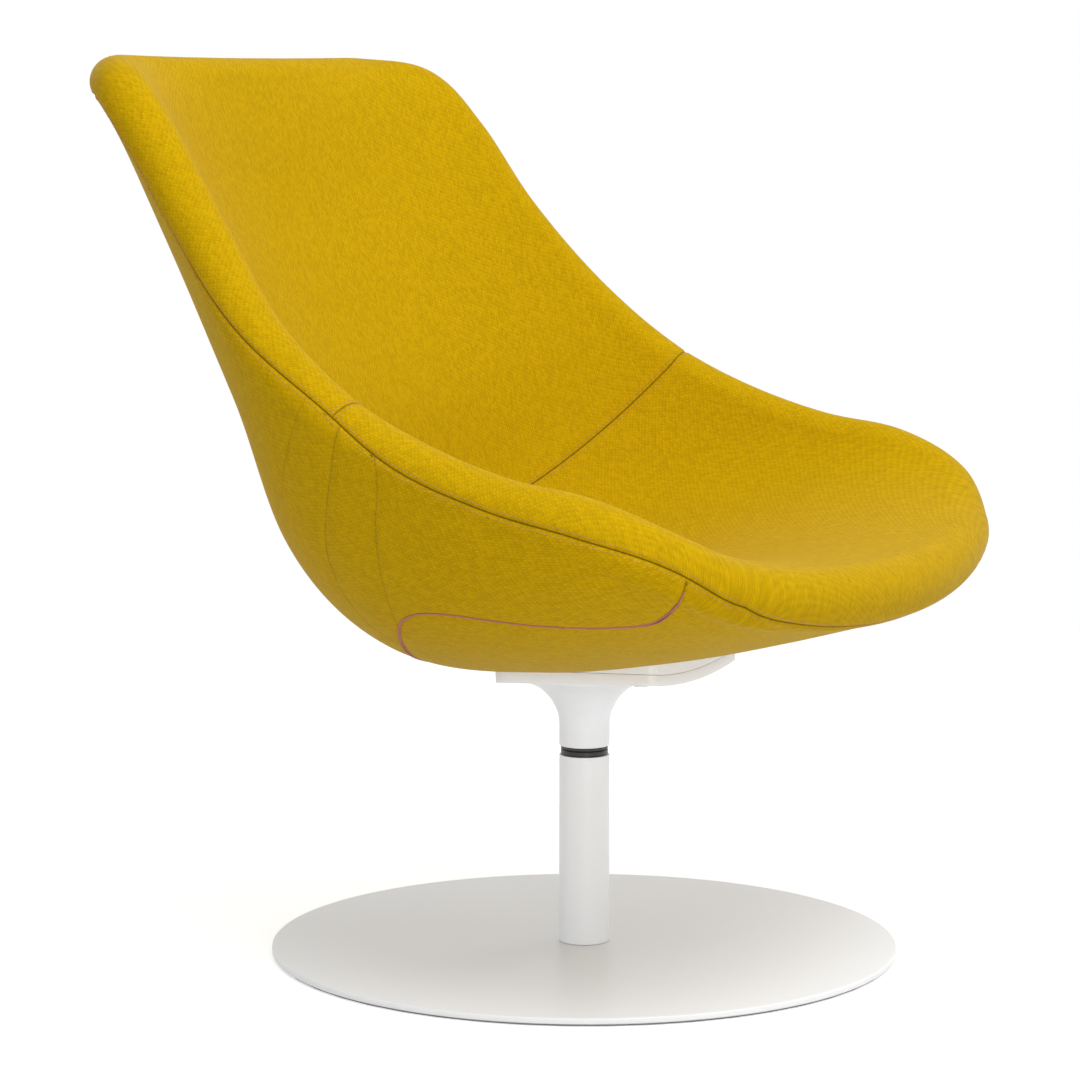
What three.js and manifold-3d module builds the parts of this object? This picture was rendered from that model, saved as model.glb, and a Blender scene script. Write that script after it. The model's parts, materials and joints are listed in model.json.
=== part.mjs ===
import * as THREE from "three";
import { mergeVertices } from "three/addons/utils/BufferGeometryUtils.js";
import Module from "manifold-3d";

const wasm = await Module();
wasm.setup();

// Units are millimetres. Z is up, the sitter faces -Y, and the column's axis is the Z axis.
// The origin is on the floor under the column.

// Overall sizes of the upholstered bucket
const shellHalfWidth = 356; // half the distance between the rim's centre lines at the arms
const shellReach = 390; // front-to-back scale of the bucket, measured from the column's axis
const shellRise = 497; // rise of the rim's centre line from the seat to the top of the back
const bellyLift = 15; // height of the bucket's lowest surface above the column head
const rimRoll = 24; // radius of the rolled rim at the back
const seatPad = 30; // extra depth of foam under the middle of the seat
const coverThickness = 2.4;
const seamGap = 0.3; // gap between two fabric panels at a seam
const fitGap = 0.3; // gap between pieces that touch
const bigCut = 900; // overrun of cutting bodies

// Base disc and column
const discRadius = 300;
const discThickness = 6;
const discEdge = 1; // bevel on the disc's rim
const protectorThickness = 1.5;
const protectorRadius = 297;
const tubeRadius = 24.15;
const tubeWall = 3;
const tubeTop = 190; // height of the tube's upper end
const plugHeight = 26;
const plugBore = 5.5;
const centreScrewRadius = 5;
const centreHeadRadius = 10;
const pinRadius = 3;
const pinOffset = 15.5;
const pinLength = 14;

// Swivel bearing
const spindleRadius = 12.5;
const spindleLength = 180;
const spindleInHead = 40; // length of spindle held in the head
const lowerBushHeight = 30;
const upperBushHeight = 32;
const bushFlangeHeight = 5;
const flangeRadius = 22.6;
const washerHeight = 3.2;
const keeperRadius = 18; // washer under the lower bush
const keeperHeight = 2.5;
const circlipHeight = 2;
const circlipGroove = 1.5;
const circlipRing = 3;
const spindleScrewRadius = 6;
const spindleScrewLength = 34;
const spindleScrewHead = 10;
const spindleScrewHeadHeight = 7;

// Column head: a trumpet from the tube's width to its top flange
const headHeight = 61.9; // from the black washer to the head's top face
const headNeck = 6; // straight part above the black washer
const headTopRadius = 60;
const headLip = 2; // edge of the top flange
const headScrewCircle = 34;

// Bracket, spacer and steel plate under the seat
const mountRake = 2.35; // degrees, the front is higher
const seatRake = 6.2; // degrees
const mountWidth = 190;
const mountDepth = 172;
const mountShift = -33; // the plates sit forward of the column
const mountArc = 620; // radius of their cross curve
const mountCorner = 22; // plan radius of the corners
const arcStep = 32; // facet width of the cross curve
const bracketThickness = 9;
const bracketDrop = 6; // depth of the round pad under the bracket
const spacerRear = 0.8; // thickness of the wedge at its rear edge
const plateThickness = 5;
const plateInset = 3; // the steel plate is smaller than the bracket by this much all round
const nutRadius = 8;
const nutHeight = 12;
const nutClearance = 2; // room round the nuts in the foam
const screwRadius = 4;
const screwHole = 4.4;
const screwHeadRadius = 6.8;
const screwHeadHeight = 5;
const screwSpacingX = 140;
const screwSpacingY = 120;
const headScrewLength = 16;
const counterboreSkin = 3; // how far the screw heads sink into the bracket

// Steel frame and webbing inside the foam
const frameTubeRadius = 8;
const frameSeatDrop = 13; // the seat tubes lie below the middle surface
const barWidth = 28;
const barThickness = 5;
const strapThickness = 2.2;
const strapWidth = 50;
const strapEndShare = 0.12; // how far a strap reaches past the tube, as a share of its half-span

// Zip
const zipWidth = 5;
const zipThickness = 1.6;
const zipProud = 0.4; // how far the zip stands out of the fabric
const zipGap = 0.5; // gap between the zip and the panels beside it
const sliderLength = 11;
const sliderWidth = 8;
const sliderHeight = 3;
const pullLength = 22;
const pullThickness = 1.2;

// Fineness of round and soft shapes
const roundSides = 24;
const smallSides = 12;
const pocketSides = 6;
const tubeSteps = 36;
const railSteps = 5;
const frameSides = 8;

// The bucket's stations, from the back's top edge (first row) to the seat's front edge (last row).
// Each row: rim half-width, rim y, rim height, centre y, centre height (shares of the overall
// sizes above), flare of the cross curve (share of a right angle), rim roll, extra foam (shares).
const stationShares = [
  [0.64, 0.962, 1.0, 0.99, 0.996, 0.33, 1.0, 0],
  [0.79, 0.846, 0.978, 0.96, 0.911, 0.4, 1.0, 0],
  [0.834, 0.733, 0.881, 0.897, 0.734, 0.49, 1.0, 0],
  [0.862, 0.59, 0.718, 0.785, 0.541, 0.58, 1.0, 0],
  [0.93, 0.413, 0.547, 0.646, 0.334, 0.67, 1.04, 0],
  [0.966, 0.205, 0.412, 0.538, 0.099, 0.76, 1.08, 0.27],
  [0.983, -0.005, 0.33, 0.313, -0.012, 0.82, 1.08, 0.73],
  [0.997, -0.231, 0.272, 0.0, 0.0, 0.867, 1.12, 1.0],
  [1.0, -0.436, 0.239, -0.32, 0.038, 0.82, 1.25, 0.9],
  [0.949, -0.597, 0.197, -0.595, 0.072, 0.71, 1.33, 0.67],
  [0.781, -0.697, 0.153, -0.803, 0.095, 0.556, 1.38, 0.17],
];
const lowestStation = 7;
const slopeShare = 0.02; // step over which the surface's slope is taken
const lastStation = stationShares.length - 1;

// Rows and columns of the surface grid, in stations and in shares of the half-width.
const rowStationShares = [0, 0.5, 1.1, 1.8, 2.6, 3.4, 4.2, 5.15, 5.85, 6.2, 6.9, 7.7, 8.5, 9, 9.4, 10];
const halfColumnShares = [0.17, 0.34, 0.5, 0.68, 0.84, 1];
const columnShares = [...halfColumnShares.map((s) => -s).reverse(), 0, ...halfColumnShares];
const rollAngleShares = [0, 0.26, 0.52, 0.78, 1]; // shares of the half turn over the rim
const crossSeamShare = 5.15; // station of the seam between seat and back
const rimSeamShare = 0.78; // place of the rim seam on the half turn
const goreEndShare = 5.85;
const zipRearShare = 6.2;
const zipFrontShare = 9.4;
const zipSideShare = 0.68;
const zipTurnShare = 9; // station where the zip leaves the side line for the rim
const zipTurnEndShare = 0.84; // place across where it has reached the front line

function stationAt(v) {
  const i = Math.min(Math.floor(v), lastStation - 1);
  const t = v - i;
  const row = (k) => {
    if (k < 0) return stationShares[0].map((s, c) => 2 * s - stationShares[1][c]);
    if (k > lastStation) {
      return stationShares[lastStation].map((s, c) => 2 * s - stationShares[lastStation - 1][c]);
    }
    return stationShares[k];
  };
  const [a, b, c, d] = [row(i - 1), row(i), row(i + 1), row(i + 2)];
  return b.map((_, k) => {
    const slope = c[k] - a[k];
    const bend = 2 * a[k] - 5 * b[k] + 4 * c[k] - d[k];
    const twist = 3 * b[k] - a[k] - 3 * c[k] + d[k];
    return 0.5 * (2 * b[k] + slope * t + bend * t * t + twist * t * t * t);
  });
}

// Heights of the bearing's black rings and the head above the tube
const flangeBottom = tubeTop + fitGap;
const washerBottom = flangeBottom + bushFlangeHeight + fitGap;
const headBottom = washerBottom + washerHeight + fitGap;
const headTop = headBottom + headHeight;

// Height of the middle surface at the lowest station, so that the belly rests on the column
const lowestRoll = rimRoll * stationShares[lowestStation][6];
const middleBase = headTop + bellyLift + lowestRoll + seatPad * stationShares[lowestStation][7];

// A point of the bucket's middle surface, u from -1 to 1 across, v in stations.
function middlePoint(u, v) {
  const [w, ry, rz, cy, cz, flare] = stationAt(v);
  const full = (flare * Math.PI) / 2;
  const angle = Math.abs(u) * full;
  const across = (Math.sign(u) * Math.sin(angle)) / Math.sin(full);
  const rise = (1 - Math.cos(angle)) / (1 - Math.cos(full));
  return new THREE.Vector3(
    shellHalfWidth * w * across,
    shellReach * (cy + (ry - cy) * rise),
    middleBase + shellRise * (cz + (rz - cz) * rise),
  );
}

function rollAt(v) {
  return rimRoll * stationAt(v)[6];
}

function extraAt(u, v) {
  return seatPad * stationAt(v)[7] * (1 - u * u);
}

// The normal of the middle surface, towards the sitter.
function middleNormal(u, v) {
  const u0 = Math.max(u - slopeShare, -1);
  const u1 = Math.min(u + slopeShare, 1);
  const v0 = Math.max(v - slopeShare, 0);
  const v1 = Math.min(v + slopeShare, lastStation);
  const du = middlePoint(u1, v).sub(middlePoint(u0, v));
  const dv = middlePoint(u, v1).sub(middlePoint(u, v0));
  return dv.cross(du).normalize();
}

// The closed skin of the bucket: an inner sheet, a rolled rim and an outer sheet.
// A vertex has a place for every depth below the fabric's outer face.
function buildSkin() {
  const rows = rowStationShares;
  const cols = columnShares;
  const point = rows.map((v) => cols.map((u) => middlePoint(u, v)));
  let normal = rows.map((v) => cols.map((u) => middleNormal(u, v)));
  const at = (grid, i, j) =>
    grid[THREE.MathUtils.clamp(i, 0, rows.length - 1)][THREE.MathUtils.clamp(j, 0, cols.length - 1)];
  normal = rows.map((_, i) =>
    cols.map((__, j) => {
      const atCorner = (i === 0 || i === rows.length - 1) && (j === 0 || j === cols.length - 1);
      const sum = atCorner ? new THREE.Vector3() : at(normal, i, j).clone().multiplyScalar(3);
      [[1, 0], [-1, 0], [0, 1], [0, -1]].forEach(([a, b]) => {
        const onSelf = at(normal, i + a, j + b) === at(normal, i, j);
        if (!(atCorner && onSelf)) sum.add(at(normal, i + a, j + b));
      });
      return sum.normalize();
    }),
  );

  const vertices = [];
  const faces = [];
  const spots = [];
  const addVertex = (u, v, place) => {
    spots.push([u, v]);
    return vertices.push(place) - 1;
  };
  const inner = rows.map((v, i) =>
    cols.map((u, j) =>
      addVertex(u, v, (depth) =>
        point[i][j].clone().addScaledVector(normal[i][j], rollAt(v) - depth),
      ),
    ),
  );
  const outer = rows.map((v, i) =>
    cols.map((u, j) =>
      addVertex(u, v, (depth) =>
        point[i][j].clone().addScaledVector(normal[i][j], depth - rollAt(v) - extraAt(u, v)),
      ),
    ),
  );
  const quad = (sheet, share, a, b, c, d) => {
    const leans = spots[a][0] + spots[c][0] < 0;
    const halves = leans ? [[b, c, d], [b, d, a]] : [[a, b, c], [a, c, d]];
    halves.forEach((corners) => {
      const [u, v] = [0, 1].map((k) => corners.reduce((sum, id) => sum + spots[id][k], 0) / 3);
      faces.push({ sheet, u, v, share, corners });
    });
  };
  for (let i = 0; i + 1 < rows.length; i += 1) {
    for (let j = 0; j + 1 < cols.length; j += 1) {
      quad("inner", 0, inner[i][j], inner[i][j + 1], inner[i + 1][j + 1], inner[i + 1][j]);
      quad("outer", 1, outer[i][j], outer[i + 1][j], outer[i + 1][j + 1], outer[i][j + 1]);
    }
  }

  // The loop of rim vertices, once round.
  const loop = [];
  const lastRow = rows.length - 1;
  const lastCol = cols.length - 1;
  for (let j = 0; j < lastCol; j += 1) loop.push([0, j]);
  for (let i = 0; i < lastRow; i += 1) loop.push([i, lastCol]);
  for (let j = lastCol; j > 0; j -= 1) loop.push([lastRow, j]);
  for (let i = lastRow; i > 0; i -= 1) loop.push([i, 0]);
  const outward = loop.map(([i, j], k) => {
    const [pi, pj] = loop[(k + loop.length - 1) % loop.length];
    const [ni, nj] = loop[(k + 1) % loop.length];
    const along = point[ni][nj].clone().sub(point[pi][pj]);
    return normal[i][j].clone().cross(along).normalize();
  });
  const rings = rollAngleShares.map((share, r) =>
    loop.map(([i, j], k) => {
      if (r === 0) return inner[i][j];
      if (r === rollAngleShares.length - 1) return outer[i][j];
      const turn = share * Math.PI;
      return addVertex(cols[j], rows[i], (depth) => {
        const radius = rollAt(rows[i]) - depth;
        const extra = extraAt(cols[j], rows[i]) * ((1 - Math.cos(turn)) / 2);
        return point[i][j]
          .clone()
          .addScaledVector(normal[i][j], radius * Math.cos(turn) - extra)
          .addScaledVector(outward[k], radius * Math.sin(turn));
      });
    }),
  );
  for (let r = 0; r + 1 < rings.length; r += 1) {
    for (let k = 0; k < loop.length; k += 1) {
      const n = (k + 1) % loop.length;
      const share = (rollAngleShares[r] + rollAngleShares[r + 1]) / 2;
      quad("roll", share, rings[r][k], rings[r + 1][k], rings[r + 1][n], rings[r][n]);
    }
  }
  const ringAt = (row, side) => {
    const k = loop.findIndex(([i, j]) => i === row && j === (side < 0 ? 0 : lastCol));
    return rings.map((ring) => ring[k]);
  };
  return { vertices, faces, inner, outer, ringAt };
}

function geometryFrom(points, triangles) {
  const geometry = new THREE.BufferGeometry();
  geometry.setAttribute(
    "position",
    new THREE.Float32BufferAttribute(points.flatMap((p) => p.toArray()), 3),
  );
  const volume = triangles.reduce((sum, [a, b, c]) => {
    return sum + points[a].dot(points[b].clone().cross(points[c]));
  }, 0);
  const turned = volume < 0 ? triangles.map(([a, b, c]) => [a, c, b]) : triangles;
  geometry.setIndex(turned.flat());
  return geometry;
}

// A fabric panel: the faces of the skin that pass the test, from one depth to another.
function panelGeometry(skin, wanted, topDepth, bottomDepth) {
  const faces = skin.faces.filter(wanted).map((f) => f.corners);
  const ids = [...new Set(faces.flat())];
  const order = new Map(ids.map((id, k) => [id, k]));
  const edges = new Map();
  faces.forEach(([a, b, c]) => {
    [[a, b], [b, c], [c, a]].forEach(([s, e]) => edges.set(`${s} ${e}`, [s, e]));
  });
  const border = [...edges.values()].filter(([s, e]) => !edges.has(`${e} ${s}`));
  const onBorder = new Set(border.flat());
  const middle = new Map();
  faces.forEach((corners) => {
    const centre = new THREE.Vector3();
    corners.forEach((id) => centre.addScaledVector(skin.vertices[id](topDepth), 1 / 3));
    corners.forEach((id) => {
      if (!middle.has(id)) middle.set(id, []);
      middle.get(id).push(centre);
    });
  });
  const place = (id, depth) => {
    const p = skin.vertices[id](depth);
    if (!onBorder.has(id)) return p;
    const inward = new THREE.Vector3();
    middle.get(id).forEach((c) => inward.add(c));
    inward.divideScalar(middle.get(id).length).sub(skin.vertices[id](topDepth));
    return p.addScaledVector(inward.normalize(), seamGap);
  };
  const count = ids.length;
  const points = [
    ...ids.map((id) => place(id, topDepth)),
    ...ids.map((id) => place(id, bottomDepth)),
  ];
  const top = faces.map((corners) => corners.map((id) => order.get(id)));
  const bottom = top.map(([a, b, c]) => [a + count, c + count, b + count]);
  const walls = border.flatMap(([s, e]) => {
    const [a, b] = [order.get(s), order.get(e)];
    return [[b, a, a + count], [b, a + count, b + count]];
  });
  return geometryFrom(points, [...top, ...bottom, ...walls]);
}

// One half of the foam: the skin on one side of the cross seam, closed by a cap there.
function foamGeometry(skin, isSeat) {
  const depth = coverThickness + fitGap;
  const seamRow = rowStationShares.indexOf(crossSeamShare);
  const faces = skin.faces.filter((f) => f.v > crossSeamShare === isSeat).map((f) => f.corners);
  const last = columnShares.length - 1;
  const cap = [];
  for (let j = 0; j < last; j += 1) {
    const [a, b] = [skin.inner[seamRow][j], skin.inner[seamRow][j + 1]];
    const [c, d] = [skin.outer[seamRow][j + 1], skin.outer[seamRow][j]];
    cap.push([a, b, c], [a, c, d]);
  }
  [-1, 1].forEach((side) => {
    const ring = skin.ringAt(seamRow, side);
    for (let r = 1; r + 1 < ring.length; r += 1) {
      cap.push(side < 0 ? [ring[0], ring[r + 1], ring[r]] : [ring[0], ring[r], ring[r + 1]]);
    }
  });
  const capIds = new Set(cap.flat());
  const shift = middlePoint(0, crossSeamShare + slopeShare).sub(middlePoint(0, crossSeamShare)).normalize();
  shift.multiplyScalar(isSeat ? fitGap / 2 : -fitGap / 2);
  const ids = [...new Set([...faces.flat(), ...capIds])];
  const order = new Map(ids.map((id, k) => [id, k]));
  const points = ids.map((id) => {
    const p = skin.vertices[id](depth);
    return capIds.has(id) ? p.add(shift) : p;
  });
  const closing = isSeat ? cap.map(([a, b, c]) => [a, c, b]) : cap;
  const triangles = [...faces, ...closing].map((corners) => corners.map((id) => order.get(id)));
  return geometryFrom(points, triangles);
}

// Solids for joining and cutting
function solidOf(geometry, matrix = new THREE.Matrix4()) {
  const bare = geometry.clone();
  bare.deleteAttribute("normal");
  bare.deleteAttribute("uv");
  bare.applyMatrix4(matrix);
  const merged = mergeVertices(bare, 1e-3);
  const source = {
    numProp: 3,
    vertProperties: merged.attributes.position.array,
    triVerts: new Uint32Array(merged.index.array),
  };
  return new wasm.Manifold(new wasm.Mesh(source));
}

function geometryOf(solid) {
  const mesh = solid.getMesh();
  const geometry = new THREE.BufferGeometry();
  const stride = mesh.numProp;
  const count = mesh.vertProperties.length / stride;
  const position = new Float32Array(count * 3);
  for (let i = 0; i < count; i += 1) {
    position.set(mesh.vertProperties.subarray(i * stride, i * stride + 3), i * 3);
  }
  geometry.setAttribute("position", new THREE.BufferAttribute(position, 3));
  geometry.setIndex(new THREE.BufferAttribute(mesh.triVerts, 1));
  return geometry;
}

// Turned pieces about the Z axis: the profile is a list of [radius, height].
function turned(profile, sides = roundSides) {
  const points = profile.map(([r, z]) => new THREE.Vector2(r, z));
  return new THREE.LatheGeometry(points, sides).rotateX(Math.PI / 2);
}

function rod(radius, bottom, top, sides = smallSides) {
  return turned([[0, bottom], [radius, bottom], [radius, top], [0, top]], sides);
}

function sleeve(inner, outer, bottom, top, sides = roundSides) {
  const profile = [[inner, bottom], [outer, bottom], [outer, top], [inner, top], [inner, bottom]];
  return turned(profile, sides);
}

function moved(geometry, x, y, z) {
  return geometry.clone().translate(x, y, z);
}

// A screw that stands on its head: the head is below, the shank goes up.
function capScrew(shank, length, headRadius, headHeight) {
  const profile = [[0, -headHeight], [headRadius, -headHeight], [headRadius, 0], [shank, 0]];
  return turned([...profile, [shank, length], [0, length]], smallSides);
}

// A tube or rod along points of the bucket's middle surface.
function shellPath(places) {
  const points = places.map(([u, v, lift]) =>
    middlePoint(u, v).addScaledVector(middleNormal(u, v), lift),
  );
  return new THREE.CatmullRomCurve3(points);
}

// Length of one station along the bucket's middle line, near v
function stationLength(v) {
  return middlePoint(0, v + 0.5).distanceTo(middlePoint(0, v - 0.5));
}

function tubeAlong(path, radius, steps) {
  const circle = Array.from({ length: frameSides }, (_, k) => {
    const turn = ((k + 0.5) / frameSides) * 2 * Math.PI;
    return new THREE.Vector2(radius * Math.cos(turn), radius * Math.sin(turn));
  });
  return new THREE.ExtrudeGeometry(new THREE.Shape(circle), { extrudePath: path, steps });
}

const group = new THREE.Group();
const finishes = {
  white_paint: { color: 0xe9e8e4, roughness: 0.42, metalness: 0 },
  white_plastic: { color: 0xe6e4df, roughness: 0.5, metalness: 0 },
  black_plastic: { color: 0x161616, roughness: 0.45, metalness: 0 },
  steel: { color: 0x9a9c9e, roughness: 0.35, metalness: 1 },
  foam: { color: 0xe8dfc0, roughness: 0.95, metalness: 0 },
  webbing: { color: 0x2c2c2e, roughness: 0.9, metalness: 0 },
  felt: { color: 0x8c8c8c, roughness: 1, metalness: 0 },
  yellow_wool: { color: 0xc9a40c, roughness: 0.95, metalness: 0 },
  zip_tape: { color: 0xa8614a, roughness: 0.8, metalness: 0 },
};

function add(name, finish, geometry) {
  const material = new THREE.MeshStandardMaterial({ ...finishes[finish], name: finish });
  const mesh = new THREE.Mesh(geometry, material);
  mesh.name = name;
  group.add(mesh);
}

// Heights that follow from the sizes above
const discBottom = protectorThickness + fitGap;
const discTop = discBottom + discThickness;
const tubeFoot = discTop + fitGap;
const tubeBore = tubeRadius - tubeWall;
const bushBore = spindleRadius + fitGap;
const bushOuter = tubeBore - fitGap;
const spindleTop = headBottom + spindleInHead;
const spindleFoot = spindleTop - spindleLength;
const keeperTop = spindleFoot + 4 * circlipHeight;
const lowerBushFoot = keeperTop + fitGap;

function makeBase() {
  add("floor_protector", "felt", rod(protectorRadius, 0, protectorThickness, 2 * roundSides));
  const countersink = centreHeadRadius + fitGap;
  const disc = [
    [plugBore, discTop],
    [plugBore, discTop - discEdge],
    [countersink, discBottom],
    [discRadius - discEdge, discBottom],
    [discRadius, discBottom + discEdge],
    [discRadius, discTop - discEdge],
    [discRadius - discEdge, discTop],
    [plugBore, discTop],
  ];
  const pinHole = rod(pinRadius + fitGap, discBottom - bigCut, discTop + bigCut);
  const pinHoles = [-1, 1].map((side) => solidOf(moved(pinHole, side * pinOffset, 0, 0)));
  let plate = solidOf(turned(disc, 2 * roundSides));
  const plugFoot = discTop + fitGap;
  const plugTop = plugFoot + plugHeight;
  let plug = solidOf(sleeve(plugBore, tubeBore - fitGap, plugFoot, plugTop));
  pinHoles.forEach((hole) => {
    plate = plate.subtract(hole);
    plug = plug.subtract(hole);
  });
  add("base_plate", "white_paint", geometryOf(plate));
  add("foot_plug", "steel", geometryOf(plug));
  const screwTop = plugTop - 2 * discEdge;
  const screw = [
    [0, discBottom],
    [centreHeadRadius, discBottom],
    [centreScrewRadius, discTop - discEdge],
    [centreScrewRadius, screwTop],
    [0, screwTop],
  ];
  add("centre_screw", "steel", turned(screw));
  [["left", 1], ["right", -1]].forEach(([name, side]) => {
    const pin = rod(pinRadius, discBottom, discBottom + pinLength);
    add(`locating_pin_${name}`, "steel", moved(pin, side * pinOffset, 0, 0));
  });
  add("column_tube", "white_paint", sleeve(tubeBore, tubeRadius, tubeFoot, tubeTop));
}

function makeSwivel() {
  const bushTop = flangeBottom + bushFlangeHeight;
  const lowerBushTop = lowerBushFoot + lowerBushHeight;
  add("lower_bush", "black_plastic", sleeve(bushBore, bushOuter, lowerBushFoot, lowerBushTop));
  const upperBush = [
    [bushBore, flangeBottom - upperBushHeight],
    [bushOuter, flangeBottom - upperBushHeight],
    [bushOuter, flangeBottom],
    [flangeRadius, flangeBottom],
    [flangeRadius, bushTop],
    [bushBore, bushTop],
    [bushBore, flangeBottom - upperBushHeight],
  ];
  add("upper_bush", "black_plastic", turned(upperBush));
  const washer = sleeve(bushBore, flangeRadius, washerBottom, washerBottom + washerHeight);
  add("thrust_washer", "black_plastic", washer);

  const grooveRadius = spindleRadius - circlipGroove;
  const grooveBottom = keeperTop - keeperHeight - fitGap - circlipHeight;
  const grooveTop = grooveBottom + circlipHeight;
  const tappedFoot = spindleTop - spindleScrewLength;
  const tapped = spindleScrewRadius + fitGap;
  const spindle = [
    [0, spindleFoot],
    [spindleRadius, spindleFoot],
    [spindleRadius, grooveBottom - fitGap],
    [grooveRadius, grooveBottom - fitGap],
    [grooveRadius, grooveTop + fitGap],
    [spindleRadius, grooveTop + fitGap],
    [spindleRadius, spindleTop],
    [tapped, spindleTop],
    [tapped, tappedFoot],
    [0, tappedFoot],
  ];
  add("spindle", "steel", turned(spindle));
  const keeper = sleeve(bushBore, keeperRadius, keeperTop - keeperHeight, keeperTop);
  add("retaining_washer", "steel", keeper);
  const [ringBore, ringRadius] = [grooveRadius + fitGap, spindleRadius + circlipRing];
  add("retaining_ring", "steel", sleeve(ringBore, ringRadius, grooveBottom, grooveTop));
}

// Column head with its bore, the screw on the spindle and the four threaded holes
function makeHead() {
  const neckTop = headBottom + headNeck;
  const trumpetRise = headTop - headLip - neckTop;
  const trumpetReach = headTopRadius - tubeRadius;
  const flareSteps = 8;
  const flare = Array.from({ length: flareSteps + 1 }, (_, k) => {
    const turn = (k / flareSteps) * (Math.PI / 2);
    const radius = headTopRadius - trumpetReach * Math.cos(turn);
    return [radius, neckTop + trumpetRise * Math.sin(turn)];
  });
  const boreTop = spindleTop + fitGap;
  const seat = headTop - spindleScrewHeadHeight - 2 * fitGap;
  const hole = spindleScrewRadius + fitGap;
  const recess = spindleScrewHead + fitGap;
  const profile = [
    [spindleRadius + fitGap, headBottom],
    [tubeRadius, headBottom],
    ...flare,
    [headTopRadius, headTop],
    [recess, headTop],
    [recess, seat],
    [hole, seat],
    [hole, boreTop],
    [spindleRadius + fitGap, boreTop],
    [spindleRadius + fitGap, headBottom],
  ];
  const bracketTop = bracketDrop + bracketThickness;
  const screwHoleDepth = headScrewLength + screwHeadHeight + 2 * fitGap - bracketTop;
  let head = solidOf(turned(profile));
  const tilt = mountMatrix();
  screwCircle().forEach(([x, y]) => {
    head = head.subtract(solidOf(moved(rod(screwHole, -screwHoleDepth, bigCut), x, y, 0), tilt));
  });
  const above = new THREE.BoxGeometry(bigCut, bigCut, bigCut).translate(0, 0, bigCut / 2);
  head = head.subtract(solidOf(above, tilt));
  add("column_head", "white_paint", geometryOf(head));
  const screwFoot = spindleTop - spindleScrewLength + 2 * fitGap;
  const screwTop = seat + spindleScrewHeadHeight - fitGap;
  const screw = [
    [0, screwFoot],
    [spindleScrewRadius, screwFoot],
    [spindleScrewRadius, seat + fitGap],
    [spindleScrewHead, seat + fitGap],
    [spindleScrewHead, screwTop],
    [0, screwTop],
  ];
  add("spindle_screw", "steel", turned(screw, smallSides));
}

// The bracket's own frame: on the head's top face, raked about X
function mountMatrix() {
  const matrix = new THREE.Matrix4().makeRotationX(THREE.MathUtils.degToRad(-mountRake));
  return matrix.setPosition(0, 0, headTop);
}

// The frame of the spacer's top face, raked further, level with the wedge's rear edge
function seatMatrix() {
  const rearY = mountShift + mountDepth / 2;
  const rake = THREE.MathUtils.degToRad(seatRake);
  const rearTop = new THREE.Vector3(0, rearY, bracketDrop + bracketThickness + fitGap + spacerRear);
  rearTop.applyMatrix4(mountMatrix());
  const matrix = new THREE.Matrix4().makeRotationX(-rake);
  return matrix.setPosition(0, 0, rearTop.z + rearTop.y * Math.tan(rake));
}

function screwCircle() {
  return [0, 1, 2, 3].map((k) => {
    const turn = ((2 * k + 1) * Math.PI) / 4;
    return [headScrewCircle * Math.cos(turn), headScrewCircle * Math.sin(turn)];
  });
}

function seatScrewPlaces() {
  return [[-1, -1], [1, -1], [1, 1], [-1, 1]].map(([sx, sy]) => [
    (sx * screwSpacingX) / 2,
    mountShift + (sy * screwSpacingY) / 2,
  ]);
}

// Rise of the plates' cross curve away from the middle
function arcRise(x) {
  return mountArc - Math.sqrt(mountArc * mountArc - x * x);
}

// A plate with a shallow cross curve and rounded corners, its underside at the given height
function arcPlate(width, depth, bottom, thickness) {
  const arcSteps = 2 * Math.ceil(width / arcStep / 2);
  const reach = width / 2;
  const side = (height, flip) =>
    Array.from({ length: arcSteps + 1 }, (_, k) => {
      const x = flip * (reach - (2 * reach * k) / arcSteps);
      return new THREE.Vector2(x, height + arcRise(x));
    });
  const outline = [...side(bottom, -1), ...side(bottom + thickness, 1)];
  const band = new THREE.ExtrudeGeometry(new THREE.Shape(outline), {
    depth,
    steps: 1,
    bevelEnabled: false,
  });
  band.rotateX(Math.PI / 2).translate(0, mountShift + depth / 2, 0);
  const plan = new THREE.Shape();
  const [x, y, c] = [reach, depth / 2, mountCorner];
  plan.moveTo(c - x, -y);
  plan.lineTo(x - c, -y);
  plan.absarc(x - c, c - y, c, -Math.PI / 2, 0, false);
  plan.absarc(x - c, y - c, c, 0, Math.PI / 2, false);
  plan.absarc(c - x, y - c, c, Math.PI / 2, Math.PI, false);
  plan.absarc(c - x, c - y, c, Math.PI, 1.5 * Math.PI, false);
  const block = new THREE.ExtrudeGeometry(plan, {
    depth: 2 * bigCut,
    curveSegments: 3,
    bevelEnabled: false,
  });
  return solidOf(band).intersect(solidOf(block.translate(0, mountShift, -bigCut)));
}

const moveBy = (solid, matrix) => solidOf(geometryOf(solid), matrix);

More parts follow.
